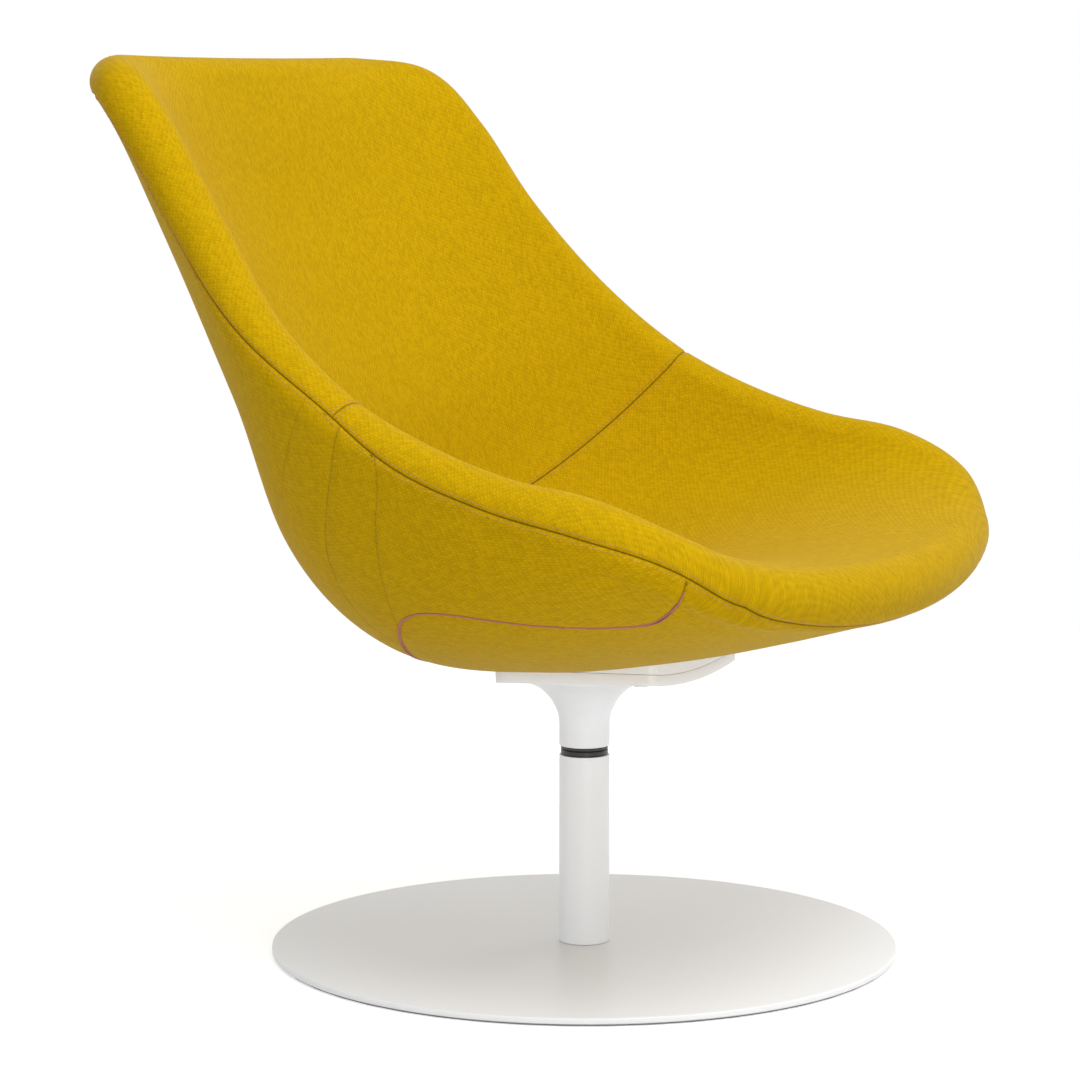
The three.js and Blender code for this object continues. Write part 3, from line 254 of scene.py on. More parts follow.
class BucketSurface:
    """The fabric skin as a formula. A place on it is across (-1 to 1), along (stations) and turn,
    which is 0 on the sitter's side, 1 on the underside and between them round the rim."""

    # The coarse grid for directions and cloth lengths, and how often its normals are evened out
    rows = 60
    columns = 40
    smoothing = 6
    # A small step in across or along, to measure a direction
    step = 0.01

    def __init__(self, sizes):
        self.sizes = sizes
        lowest = STATION_SHARES[LOWEST_STATION]
        roll, pad = sizes.rim_roll * lowest[6], sizes.seat_pad * lowest[7]
        self.base = HEAD_TOP + sizes.belly_lift + roll + pad
        along, across = np.meshgrid(
            np.linspace(0, LAST_STATION, self.rows + 1), np.linspace(-1, 1, self.columns + 1), indexing="ij"
        )
        middle = self.middle(across.ravel(), along.ravel()).reshape(self.rows + 1, self.columns + 1, 3)
        self.normals = self.smooth_normals(middle)
        self.outward = self.rim_outward(middle)
        self.cloth = self.cloth_lengths(middle)

    def middle(self, across, along):
        """Points of the surface half way through the padding, with the rim's corners bent round."""
        points = self.sheet(across, along)
        step = self.step
        for station, reach in CORNER_REACH.items():
            beside = station + (step if station == 0 else -step)
            corner, down, over = self.sheet(
                np.array([1, 1, 1 - step]), np.array([station, beside, station])
            )
            down, over = down - corner, over - corner
            gone = np.abs(along - station) * np.linalg.norm(down)
            gone = gone + (1 - np.abs(across)) * np.linalg.norm(over)
            fall = np.maximum(0, 1 - gone / step / reach) ** 2
            inward = (unit(down) + unit(over)) * reach / 4
            pull = fall[:, None] * inward
            pull[:, 0] *= np.sign(across)
            points = points + pull
        return points

    def sheet(self, across, along):
        """The middle surface with plain corners."""
        width, rim_y, rim_z, mid_y, mid_z, flare = between_rows(STATION_SHARES, along).T[:6]
        full = flare * math.pi / 2
        angle = np.abs(across) * full
        side = np.sign(across) * np.sin(angle) / np.sin(full)
        climb = (1 - np.cos(angle)) / (1 - np.cos(full))
        sizes = self.sizes
        return np.stack([
            sizes.half_width * width * side,
            sizes.reach * (mid_y + (rim_y - mid_y) * climb),
            self.base + sizes.rise * (mid_z + (rim_z - mid_z) * climb),
        ], axis=1)

    def smooth_normals(self, middle):
        """Normals of the middle surface towards the sitter, evened out."""
        cross = np.cross(middle[1:, 1:] - middle[:-1, :-1], middle[:-1, 1:] - middle[1:, :-1])
        normals = np.zeros_like(middle)
        for rows in (slice(None, -1), slice(1, None)):
            for columns in (slice(None, -1), slice(1, None)):
                normals[rows, columns] += cross
        normals = unit(normals)
        if normals[self.rows // 2, self.columns // 2, 2] < 0:
            normals = -normals
        for _ in range(self.smoothing):
            edge = np.pad(normals, ((1, 1), (1, 1), (0, 0)), mode="edge")
            beside = edge[2:, 1:-1] + edge[:-2, 1:-1] + edge[1:-1, 2:] + edge[1:-1, :-2]
            normals = unit(normals + beside)
        return normals

    def rim_outward(self, middle):
        """Directions out of the rim, once round from the back's top edge."""
        last, side = self.rows, self.columns
        loop = [(0, j) for j in range(side)] + [(i, side) for i in range(last)]
        loop += [(last, j) for j in range(side, 0, -1)] + [(i, 0) for i in range(last, 0, -1)]
        rows, columns = np.array(loop).T
        points = middle[rows, columns]
        along = unit(np.roll(points, -1, axis=0) - np.roll(points, 1, axis=0))
        outward = unit(np.cross(along, self.normals[rows, columns]))
        if ((points - middle.mean((0, 1))) * outward).sum() < 0:
            outward = -outward
        return outward

    def cloth_lengths(self, middle):
        """Lengths over the cloth from the middle line and from the cross seam, for the weave."""
        over = np.linalg.norm(np.diff(middle, axis=1), axis=2).cumsum(axis=1)
        over = np.pad(over, ((0, 0), (1, 0)))
        over -= over[:, [self.columns // 2]]
        down = np.linalg.norm(np.diff(middle, axis=0), axis=2).cumsum(axis=0)
        down = np.pad(down, ((1, 0), (0, 0)))
        down -= down[[round(CROSS_SEAM_STATION / LAST_STATION * self.rows)]]
        return np.stack([over, down], axis=2)

    def cells(self, across, along):
        """Places on the coarse grid."""
        return along / LAST_STATION * self.rows, (across + 1) / 2 * self.columns

    def normal(self, across, along):
        """Directions towards the sitter."""
        return unit(between_cells(self.normals, *self.cells(across, along)))

    def out_of_rim(self, across, along):
        """Directions out of the rim, for places on it."""
        row, column = self.cells(across, along)
        inward = np.maximum(TINY, (1 - np.abs(across)) * LAST_STATION / 2)
        top, front = along < inward, along > LAST_STATION - inward
        down = self.columns + row
        up = 2 * self.columns + 2 * self.rows - row
        place = np.where(across > 0, down, up)
        place = np.where(front, 2 * self.columns + self.rows - column, place)
        place = np.where(top, column, place)
        ring = np.concatenate([self.outward, self.outward[:3]])
        return unit(between_rows(ring, np.mod(place - 1, len(self.outward)) + 1))

    def roll(self, along):
        """Radius of the rolled rim."""
        return self.sizes.rim_roll * between_rows(STATION_SHARES, along)[:, 6]

    def place(self, across, along, turn):
        """Points of the fabric's outer face."""
        across, along, turn = (np.asarray(a, float) for a in (across, along, turn))
        roll = self.roll(along)
        extra = self.sizes.seat_pad * between_rows(STATION_SHARES, along)[:, 7] * (1 - across**2)
        angle = math.pi * turn
        shift = roll * np.cos(angle) - extra * (1 - np.cos(angle)) / 2
        points = self.middle(across, along) + self.normal(across, along) * shift[:, None]
        return points + self.out_of_rim(across, along) * (roll * np.sin(angle))[:, None]

    def weave(self, across, along, turn, outside):
        """Places on the flat cloth, in metres, measured over the skin."""
        flat = between_cells(self.cloth, *self.cells(across, along))
        step = self.step
        sideways = unit(self.middle(np.minimum(across + step, 1), along)
                        - self.middle(np.maximum(across - step, -1), along))
        forward = unit(self.middle(across, np.minimum(along + step, LAST_STATION))
                       - self.middle(across, np.maximum(along - step, 0)))
        outward = self.out_of_rim(across, along)
        over = self.roll(along) * math.pi * ((1 - turn) if outside else turn)
        lean = np.stack([(outward * sideways).sum(1), (outward * forward).sum(1)], axis=1)
        return flat + lean * over[:, None]


# Seams

class Seam:
    """A sewn line on the skin, with its depth and half gap along its run, and the strength of the painted
    shade along its crease.
    """

    def __init__(self, name, places, depth, gap, shade, rows=(), inside=False, outside=False):
        self.name = name
        self.places = places
        self.depth = depth
        self.gap = gap
        # How dark the painted shade along the seam's crease is, from 0 to 1
        self.shade = shade
        self.rows = rows
        self.inside = inside
        self.outside = outside

    def line(self, surface):
        """The seam's points on the skin."""
        return surface.place(*self.places.T)

    def along_run(self, values, run, total):
        """A value given by a table over the run, or one value all along."""
        if np.isscalar(values):
            return np.full(len(run), float(values))
        at, amount = np.array(values, float).T
        return np.interp(run / total, at, amount)


def smooth_line(points, per_step=12):
    """A smooth line through given places (across, along, turn)."""
    points = np.array(points, float)
    return between_rows(points, np.linspace(0, len(points) - 1, per_step * (len(points) - 1) + 1))


def mirrored(places):
    """The same line on the sitter's other side."""
    return places * np.array([-1, 1, 1])


def rim_turn(along):
    """Where the rim seam lies on the roll."""
    return between_rows(RIM_SEAM_TURNS, np.atleast_1d(along))[:, 0]


def rim_seam_places():
    """The seam under the rolled rim, once round, closed."""
    side = np.linspace(-1, 1, 181)
    down = np.linspace(0, LAST_STATION, 241)
    turn = rim_turn(down)
    front = FRONT_SEAM_TURN - (FRONT_SEAM_TURN - turn[-1]) * side**2
    parts = [
        np.stack([side, 0 * side, 0 * side + turn[0]], axis=1),
        np.stack([0 * down + 1, down, turn], axis=1)[1:],
        np.stack([-side, 0 * side + LAST_STATION, front], axis=1)[1:],
        np.stack([0 * down - 1, down[::-1], turn[::-1]], axis=1)[1:],
    ]
    return np.concatenate(parts)


def cross_seam_places():
    """The seam between seat and back, from rim seam to rim seam."""
    v = CROSS_SEAM_STATION
    last = float(rim_turn(v)[0])
    over = [(-1, v, t) for t in np.linspace(last, 0, 24)]
    middle = [(u, v, 0) for u in np.linspace(-1, 1, 201)[1:-1]]
    back = [(1, v, t) for t in np.linspace(0, last, 24)]
    return np.array(over + middle + back, float)


# Places (across, along, turn) along half of the zip, from the rear middle to its front end, and
# along the seams on the same side, from the rim seam inwards
ZIP_HALF = [
    (0, 6.1, 1), (-0.16, 6.11, 1), (-0.3, 6.15, 1), (-0.42, 6.205, 1), (-0.52, 6.262, 1), (-0.59, 6.34, 1),
    (-0.635, 6.47, 1), (-0.66, 6.65, 1), (-0.674, 6.93, 1), (-0.678, 7.25, 1), (-0.675, 7.6, 1),
    (-0.68, 8.05, 1), (-0.705, 8.42, 1), (-0.728, 8.61, 1), (-0.76, 8.77, 1), (-0.81, 8.925, 1),
    (-0.878, 9.104, 1), (-0.925, 9.218, 1), (-0.963, 9.302, 1), (-1, 9.385, 1), (-1, 9.352, 0.933),
    (-1, 9.325, 0.86), (-1, 9.299, 0.79), (-1, 9.273, 0.715),
]
# The cut in the cover runs on past the zip, to the rim seam
ZIP_END = [(-1, 9.25, 0.65), (-1, 9.227, 0.59), (-1, 9.2, 0.53)]
REAR_DART = [
    (-1, 4.82, 0.66), (-1, 4.84, 0.8), (-0.995, 4.85, 1), (-0.95, 4.87, 1), (-0.86, 4.92, 1),
    (-0.74, 4.99, 1),
]
REAR_GORE = [
    (-1, 5.27, 0.64), (-1, 5.29, 0.8), (-0.995, 5.32, 1), (-0.97, 5.35, 1), (-0.93, 5.4, 1), (-0.85, 5.48, 1),
    (-0.72, 5.59, 1), (-0.6, 5.77, 1), (-0.5, 5.98, 1), (-0.44, 6.2, 1), (-0.42, 6.3, 1),
]
FRONT_GORE = [
    (-1, 5.72, 0.72), (-1, 5.77, 0.86), (-0.995, 5.84, 1), (-0.95, 5.93, 1), (-0.88, 6.02, 1),
    (-0.8, 6.12, 1), (-0.7, 6.22, 1), (-0.61, 6.27, 1), (-0.55, 6.29, 1), (-0.5, 6.33, 1),
]
# Half the zip's opening along each half of its run, from the rear middle to the front end
ZIP_OPENING = [
    (0, 0.0018), (0.18, 0.0024), (0.27, 0.0028), (0.37, 0.0012), (0.5, 0.0006), (0.72, 0.0005),
    (0.82, 0.0012), (0.88, 0.0026), (0.93, 0.0016), (0.955, 0.0003), (0.97, 0.00004), (1, 0.00004),
]


def zip_places():
    """The zip's centre line round the belly, from one side of the rim to the other."""
    half = smooth_line(ZIP_HALF + ZIP_END)
    return np.concatenate([half[::-1], mirrored(half)[1:]])


def bucket_seams(sizes):
    """Every seam of the cover."""
    depth, gap = sizes.depth, sizes.gap
    # The number after each seam's gap is how strongly painted shade darkens the cloth along its crease
    rim = Seam("rim", rim_seam_places(), 0.8 * depth, gap, 0.6, rows=(-1, 1))
    cross = Seam("cross", cross_seam_places(), 0.7 * depth, 0.6 * gap, 0.5, rows=(-1, 1), inside=True)
    opening = [(0.5 - 0.5 * at, half) for at, half in reversed(ZIP_OPENING)]
    opening += [(0.5 + 0.5 * at, half) for at, half in ZIP_OPENING[1:]]
    zipper = Seam("zip", zip_places(), 0.5 * depth, opening, 0.4, outside=True)
    seams = [rim, cross, zipper]
    fade = [(0, 0.4 * depth), (0.45, 0.4 * depth), (0.75, 0.2 * depth), (1, 0.1 * depth)]
    hairline = 0.15 * gap
    for side, turned_to in (("right", np.array), ("left", mirrored)):
        rear = turned_to(smooth_line(REAR_GORE))
        front = turned_to(smooth_line(FRONT_GORE))
        dart = turned_to(smooth_line(REAR_DART))
        seams.append(Seam(f"rear_gore_{side}", rear, fade, hairline, 0.25, outside=True))
        seams.append(Seam(f"front_gore_{side}", front, fade, hairline, 0.22, outside=True))
        dart_depth = [(0, 0.4 * depth), (0.5, 0.3 * depth), (1, 0)]
        seams.append(Seam(f"dart_{side}", dart, dart_depth, None, 0.2, outside=True))
    return seams


# The first look for near points takes every so many points of the line, and the second takes the
# near points in batches
LINE_STRIDE = 8
POINT_BATCH = 3000


def distance_to_line(points, normals, line, reach):
    """Signed distance of points to a line on the skin and the run along it. What is further than
    reach gets a far value."""
    signed = np.full(len(points), FAR)
    run = np.zeros(len(points))
    starts, steps = line[:-1], np.diff(line, axis=0)
    spans = np.maximum(np.linalg.norm(steps, axis=1), TINY)
    run_at = np.concatenate([[0], spans.cumsum()])
    coarse = line[::LINE_STRIDE]
    slack = reach + LINE_STRIDE * spans.max()
    boxed = np.flatnonzero(((points > line.min(0) - slack) & (points < line.max(0) + slack)).all(1))
    nearest = np.full(len(boxed), np.inf)
    for place in coarse:
        nearest = np.minimum(nearest, ((points[boxed] - place) ** 2).sum(1))
    near = boxed[nearest < slack**2]
    for chunk in np.array_split(near, max(1, len(near) // POINT_BATCH)):
        away = points[chunk][:, None] - starts[None]
        at = np.clip((away * steps).sum(2) / spans**2, 0, 1)
        gap = away - at[..., None] * steps
        squared = (gap**2).sum(2)
        k = squared.argmin(1)
        pick = np.arange(len(chunk))
        side = (np.cross(steps[k], gap[pick, k]) * normals[chunk]).sum(1)
        found = np.sqrt(squared[pick, k]) * np.where(side < 0, -1, 1)
        close = np.abs(found) < reach
        signed[chunk[close]] = found[close]
        run[chunk] = run_at[k] + at[pick, k] * spans[k]
    return signed, run, run_at[-1]


# The skin's mesh

by_number = attrgetter("index")


def numbers(item):
    """The numbers of an edge's or a face's points. Edges and faces are put in this order, because
    that of a set, and the one that extruding gives, change from run to run."""
    return sorted(vert.index for vert in item.verts)


class Skin:
    """The fabric skin as a mesh whose points know their place on the surface."""

    # How far from a seam faces may be cut, and how near an edge's end a cut takes that end instead
    reach = 0.011
    snap = 0.17

    def __init__(self, surface):
        self.surface = surface
        self.bm = bmesh.new()
        self.copy = bpy.data.meshes.new("skin_copy")
        make = self.bm.verts.layers.float.new
        self.across, self.along, self.turn = make("across"), make("along"), make("turn")
        self.field, self.fixed = make("field"), make("fixed")
        self.build()

    def build(self):
        """The sitter's side and the underside as grids, joined by a roll drawn out of the rim."""
        bm = self.bm
        bmesh.ops.create_grid(bm, x_segments=SKIN_COLUMNS, y_segments=SKIN_ROWS, size=1)
        for vert in bm.verts:
            vert[self.across] = vert.co.x
            vert[self.along] = (vert.co.y + 1) / 2 * LAST_STATION
        under = bmesh.ops.duplicate(bm, geom=bm.faces[:])["geom"]
        for item in under:
            if isinstance(item, bmesh.types.BMVert):
                item[self.turn] = 1
        rim = [e for e in bm.edges if e.is_boundary and e.verts[0][self.turn] < 0.5]
        for turn in np.linspace(0, 1, ROLL_RINGS + 1)[1:]:
            grown = bmesh.ops.extrude_edge_only(bm, edges=rim)["geom"]
            fresh = {item for item in grown if isinstance(item, bmesh.types.BMVert)}
            for vert in fresh:
                vert[self.turn] = turn
            rim = [
                item for item in grown
                if isinstance(item, bmesh.types.BMEdge) and item.verts[0] in fresh and item.verts[1] in fresh
            ]
        self.settle()
        edge = [v for v in bm.verts if v[self.turn] > 1 - TINY]
        bmesh.ops.remove_doubles(bm, verts=edge, dist=10 * TINY)
        bmesh.ops.recalc_face_normals(bm, faces=bm.faces)
        self.sort()
        self.settle()

    def sort(self):
        """Puts the edges and the faces in the order of their points."""
        self.bm.verts.index_update()
        for items in (self.bm.edges, self.bm.faces):
            rank = {item: place for place, item in enumerate(sorted(items, key=numbers))}
            items.sort(key=rank.get)

    def values(self, name):
        """The values of a named layer as an array."""
        self.bm.to_mesh(self.copy)
        values = np.zeros(len(self.copy.vertices), np.float32)
        self.copy.attributes[name].data.foreach_get("value", values)
        return values.astype(float)

    def settle(self):
        """Moves every point to its place on the surface."""
        places = self.surface.place(*(self.values(name) for name in ("across", "along", "turn")))
        for vert, place in zip(self.bm.verts, places):
            vert.co = place
        self.bm.normal_update()

    def arrays(self):
        """Points and outward directions as arrays."""
        self.bm.to_mesh(self.copy)
        points = np.zeros((len(self.copy.vertices), 3), np.float32)
        normals = np.zeros_like(points)
        self.copy.vertices.foreach_get("co", points.ravel())
        self.copy.vertex_normals.foreach_get("vector", normals.ravel())
        return points.astype(float), normals.astype(float)

    def write(self, values):
        """Writes the field that the next cut follows."""
        for vert, value in zip(self.bm.verts, values):
            vert[self.field] = value

    def slide(self, vert, a, b, at):
        """Moves a point along its edge from a to b, with its place on the surface."""
        for layer in (self.across, self.along, self.turn, self.field):
            vert[layer] = a[layer] + (b[layer] - a[layer]) * at

    def cut(self, levels):
        """Cuts the faces along lines where the field has one of the levels. The edges are taken in
        the order of their points."""
        bm, field, fixed = self.bm, self.field, self.fixed
        near = {edge for edge in bm.edges if all(abs(vert[field]) < self.reach for vert in edge.verts)}
        every = set()
        for level in levels:
            met = set()
            bm.verts.index_update()
            for edge in sorted(near, key=numbers):
                a, b = sorted(edge.verts, key=by_number)
                rise_a, rise_b = a[field] - level, b[field] - level
                if abs(rise_a) < TINY:
                    met.add(a)
                if abs(rise_b) < TINY:
                    met.add(b)
                if rise_a * rise_b >= 0 or abs(rise_a) < TINY or abs(rise_b) < TINY:
                    continue
                at = rise_a / (rise_a - rise_b)
                if at < self.snap and not a[fixed]:
                    self.slide(a, a, b, at)
                    met.add(a)
                elif at > 1 - self.snap and not b[fixed]:
                    self.slide(b, a, b, at)
                    met.add(b)
                else:
                    half, vert = bmesh.utils.edge_split(edge, a, at)
                    near.add(half)
                    met.add(vert)
            bm.verts.index_update()
            verts = sorted(met, key=by_number)
            near.update(bmesh.ops.connect_verts(bm, verts=verts)["edges"])
            for vert in met:
                vert[fixed] = 1
            every |= met
        return every

    def drop(self, wanted):
        """Deletes the faces that pass the test on their middle values."""
        gone = [face for face in self.bm.faces if wanted(face)]
        bmesh.ops.delete(self.bm, geom=gone, context="FACES")

    def mean(self, face, layer):
        """A layer's middle value on a face."""
        return sum(vert[layer] for vert in face.verts) / len(face.verts)


def seam_field(skin, seam, reach):
    """Signed distance of the skin's points to a seam, within the seam's own side of the rim."""
    points, normals = skin.arrays()
    signed, run, total = distance_to_line(points, normals, seam.line(skin.surface), reach)
    past_rim = skin.values("turn") - rim_turn(skin.values("along"))
    if seam.inside:
        signed[past_rim > 0] = FAR
    if seam.outside:
        signed[past_rim < 0] = FAR
    return signed, run, total


# Rows of points beside a seam, as shares of its fold's width
FOLD_ROWS = (0.12, 0.3, 0.6, 1.0, 1.6)
# How near the zip a seam that ends there looks for it
ZIP_REACH = 0.03


def within(skin, zipper):
    """Which points lie inside the zip's line, near it."""
    points, normals = skin.arrays()
    signed, run, total = distance_to_line(points, normals, zipper.line(skin.surface), ZIP_REACH)
    return (signed != FAR) & (signed > zipper.along_run(zipper.gap, run, total) + TINY)


def sew(skin, seam, width, zipper):
    """Cuts the panels apart along a seam and adds the rows of points that its fold needs. A seam
    that has a zipper ends there."""
    signed, run, total = seam_field(skin, seam, skin.reach)
    if zipper:
        signed[within(skin, zipper)] = FAR
    skin.write(signed)
    met = skin.cut([0])
    skin.settle()
    signed, run, total = seam_field(skin, seam, skin.reach)
    if zipper:
        signed[within(skin, zipper)] = FAR
    skin.bm.verts.index_update()
    signed[[vert.index for vert in met]] = 0
    gap = 0 if seam.gap is None else seam.along_run(seam.gap, run, total)
    skin.write(np.abs(signed) - gap)
    folds = [width * part for part in FOLD_ROWS]
    skin.cut(folds if seam.gap is None else [0, *folds])
    if seam.gap is not None:
        skin.drop(lambda face: skin.mean(face, skin.field) < -TINY)
    skin.settle()


def outline_distance(points, centre, half, corner):
    """Signed distance to a rectangle with round corners, seen from above."""
    away = np.abs(points[:, :2] - np.array(centre)) - (np.array(half) - corner)
    outside = np.linalg.norm(np.maximum(away, 0), axis=1)
    return outside + np.minimum(away.max(1), 0) - corner


def open_for_mount(skin):
    """Cuts the cover away over the steel plate that the bucket is bolted to."""
    low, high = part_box("mount_spacer")
    inset, corner, clearance = 0.007, 0.018, 0.03
    centre = ((low.x + high.x) / 2, (low.y + high.y) / 2)
    half = ((high.x - low.x) / 2 - inset, (high.y - low.y) / 2 - inset)

    def write_field():
        """Writes how far each point is outside the opening."""
        points, _ = skin.arrays()
        field = outline_distance(points, centre, half, corner)
        outer = skin.values("turn") > 1 - TINY
        low_enough = points[:, 2] < high.z + clearance
        skin.write(np.where(outer & low_enough, field, FAR))

    write_field()
    skin.cut([0])
    skin.settle()
    write_field()
    skin.drop(lambda face: skin.mean(face, skin.field) < -TINY)


# A seam's fold is a narrow crease in a wide shallow dip, with painted shade along it as a dark line: their
# widths as shares of the fold's width, and the dip's depth as a share of the crease's
CREASE, DIP, PAINTED_SHADE_LINE = 0.45, 1.9, 0.25
DIP_DEPTH = 0.28
# The noted distance of a point with no stitched seam near it
NO_SEAM_NEAR = 0.03


def press_seams(skin, seams, width):
    """Draws the fabric into the foam along its seams, and notes how far each point is from them and how much
    painted shade darkens it.
    """
    points, normals = skin.arrays()
    sunk = np.zeros(len(points))
    nearest = np.full(len(points), NO_SEAM_NEAR)
    run_of = np.zeros(len(points))
    shade = np.zeros(len(points))
    for seam in seams:
        signed, run, total = seam_field(skin, seam, 4 * width)
        gap = np.abs(signed)
        depth = seam.along_run(seam.depth, run, total)
        crease = np.exp(-((gap / (CREASE * width)) ** 1.3))
        dip = DIP_DEPTH * np.exp(-((gap / (DIP * width)) ** 2))
        sunk = np.maximum(sunk, depth * (crease + dip))
        # Painted shade: the cloth darkened along the seam's crease, most on its line
        shade = np.maximum(shade, seam.shade * np.exp(-((gap / (PAINTED_SHADE_LINE * width)) ** 2)))
        closer = (gap < nearest) & bool(seam.rows)
        nearest[closer] = gap[closer]
        run_of[closer] = run[closer]
    points -= normals * sunk[:, None]
    for vert, point in zip(skin.bm.verts, points):
        vert.co = point
    return {"seam_distance": nearest, "seam_run": run_of, "seam_shade": shade}


# Meshes and pieces

def object_from(bm, name, materials):
    """A new object at the origin from a bmesh, shaded smooth."""
    mesh = bpy.data.meshes.new(name)
    for face in bm.faces:
        face.smooth = True
    bm.to_mesh(mesh)
    bm.free()
    for material in materials:
        mesh.materials.append(material)
    obj = bpy.data.objects.new(name, mesh)
    bpy.context.scene.collection.objects.link(obj)
    return obj


def placed(obj, body, slot, *nodes):
    """Hangs a piece on the body that carries it and hides the CAD pieces that it stands for. The slot is not
    used.
    """
    if nodes:
        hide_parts(*nodes)
    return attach(obj, body)


def round_edges(bm, radius, segments=3, angle=0.5):
    """Rounds every sharp edge."""
    bmesh.ops.remove_doubles(bm, verts=bm.verts, dist=TINY)
    sharp = [e for e in bm.edges if len(e.link_faces) == 2 and e.calc_face_angle(0) > angle]
    bmesh.ops.bevel(
        bm, geom=sharp, offset=radius, offset_type="OFFSET", affect="EDGES", segments=segments,
        profile=0.5, material=-1, clamp_overlap=True,
    )
    bmesh.ops.remove_doubles(bm, verts=bm.verts, dist=TINY)


def turned(profile, steps=128):
    """A body turned about the column's axis from a closed profile of (radius, height) points."""
    bm = bmesh.new()
    verts = [bm.verts.new((radius, 0, height)) for radius, height in profile]
    edges = [bm.edges.new(pair) for pair in zip(verts, verts[1:] + verts[:1])]
    bmesh.ops.spin(
        bm, geom=verts + edges, cent=(0, 0, 0), axis=(0, 0, 1), dvec=(0, 0, 0), angle=2 * math.pi,
        steps=steps, use_merge=True, use_duplicate=False,
    )
    bmesh.ops.remove_doubles(bm, verts=bm.verts, dist=TINY)
    bmesh.ops.recalc_face_normals(bm, faces=bm.faces)
    return bm


def thicken(obj, thickness):
    """Gives a sheet its thickness, inwards from its face."""
    wall = obj.modifiers.new("thickness", "SOLIDIFY")
    wall.thickness = thickness
    wall.offset = -1


def sharpen(obj):
    """Shades the piece's edges sharp and the rest smooth."""
    obj.data.set_sharp_from_angle(angle=math.radians(40))


def even_shading(obj):
    """Keeps large flat faces flat beside their rounded edges."""
    weighted = obj.modifiers.new("even", "WEIGHTED_NORMAL")
    weighted.keep_sharp = True
    weighted.weight = 100


def islands(bm):
    """Groups of faces that are joined."""
    left = set(bm.faces)
    found = []
    while left:
        start = left.pop()
        group, todo = [start], [start]
        while todo:
            for edge in todo.pop().edges:
                for face in edge.link_faces:
                    if face in left:
                        left.discard(face)
                        group.append(face)
                        todo.append(face)
        found.append(group)
    return found


# Each panel: a place on it, and the CAD pieces that it stands for
PANELS = {
    "wool_inner_back": ((0, 2.5, 0), ("cover_inner_back", "foam_back")),
    "wool_inner_seat": ((0, 7.5, 0), ("cover_inner_seat", "foam_seat")),
    "wool_outer_back": ((0, 2.5, 1), ("cover_outer_back",)),
    "wool_gore_right": ((-0.9, 5.75, 1), ("cover_gore_right",)),
    "wool_gore_left": ((0.9, 5.75, 1), ("cover_gore_left",)),
    "wool_side_right": ((-0.9, 7.5, 1), ("cover_side_right",)),
    "wool_side_left": ((0.9, 7.5, 1), ("cover_side_left",)),
    "wool_under": ((0, 9.6, 1), ("cover_under",)),
}


# How much a step in across, along and turn counts when a panel is looked up, and the most faces
# that may be left over at the cuts
SEED_WEIGHTS = np.array([1, 0.3, 5])
MOST_STRAYS = 40


def name_islands(skin):
    """Which panel each group of faces is, by the seed that lies on it."""
    groups = islands(skin.bm)
    middles = []
    owner = []
    for number, group in enumerate(groups):
        for face in group:
            middles.append([skin.mean(face, layer) for layer in (skin.across, skin.along, skin.turn)])
            owner.append(number)
    middles, owner = np.array(middles), np.array(owner)
    named = {}
    for name, (seed, _) in PANELS.items():
        away = ((middles - np.array(seed)) * SEED_WEIGHTS) ** 2
        number = int(owner[away.sum(1).argmin()])
        if number in named:
            raise RuntimeError(f"{name} and {named[number]} are one panel: a seam leaks")
        named[number] = name
    strays = [len(groups[k]) for k in range(len(groups)) if k not in named]
    if sum(strays) > MOST_STRAYS:
        raise RuntimeError(f"panels without a name, of {strays} faces")
    return {name: groups[number] for number, name in named.items()}


def panel_object(skin, name, faces, materials, notes):
    """One sewn panel as a closed piece of cloth with its own weave map."""
    surface = skin.surface
    keep = set(faces)
    verts = sorted({vert for face in faces for vert in face.verts}, key=by_number)
    rows = np.array([vert.index for vert in verts])
    params = np.array([[vert[skin.across], vert[skin.along], vert[skin.turn]] for vert in verts])
    outside = "inner" not in name
    flat = surface.weave(*params.T, outside)
    bm = skin.bm.copy()
    bm.faces.ensure_lookup_table()
    gone = [bm.faces[face.index] for face in skin.bm.faces if face not in keep]
    bmesh.ops.delete(bm, geom=gone, context="FACES")
    bmesh.ops.triangulate(bm, faces=[face for face in bm.faces if len(face.verts) > 4])
    obj = object_from(bm, name, materials)
    mesh = obj.data
    if len(mesh.vertices) != len(rows):
        raise RuntimeError(f"{name} has {len(mesh.vertices)} points for {len(rows)} places")
    uv = mesh.uv_layers.new(name="weave")
    corner = np.zeros(len(mesh.loops), int)
    mesh.loops.foreach_get("vertex_index", corner)
    uv.data.foreach_set("uv", flat[corner].astype(np.float32).ravel())
    for attribute, values in notes.items():
        layer = mesh.attributes.new(attribute, "FLOAT", "POINT")
        layer.data.foreach_set("value", values[rows].astype(np.float32))
    for attribute in ("across", "along", "turn", "field", "fixed"):
        if attribute in mesh.attributes:
            mesh.attributes.remove(mesh.attributes[attribute])
    return obj


def make_covers(scene):
    """The eight wool panels, sewn round the foam."""
    sizes, seam_sizes = scene.armchair_bucket, scene.armchair_seams
    surface = BucketSurface(sizes)
    skin = Skin(surface)
    seams = bucket_seams(seam_sizes)
    zipper = next(seam for seam in seams if seam.name == "zip")
    for seam in seams:
        sew(skin, seam, seam_sizes.width, zipper if "gore" in seam.name else None)
    open_for_mount(skin)
    loose = [vert for vert in skin.bm.verts if not vert.link_faces]
    bmesh.ops.delete(skin.bm, geom=loose, context="VERTS")
    skin.sort()
    skin.bm.normal_update()
    notes = press_seams(skin, seams, seam_sizes.width)
    skin.bm.verts.index_update()
    skin.bm.faces.index_update()
    wool = wool_material(scene)
    for name, faces in name_islands(skin).items():
        obj = panel_object(skin, name, faces, [wool], notes)
        thicken(obj, sizes.cover)
        placed(obj, "seat", "yellow_wool", *PANELS[name][1])
    skin.bm.free()
    bpy.data.meshes.remove(skin.copy)


# Stitches and zip

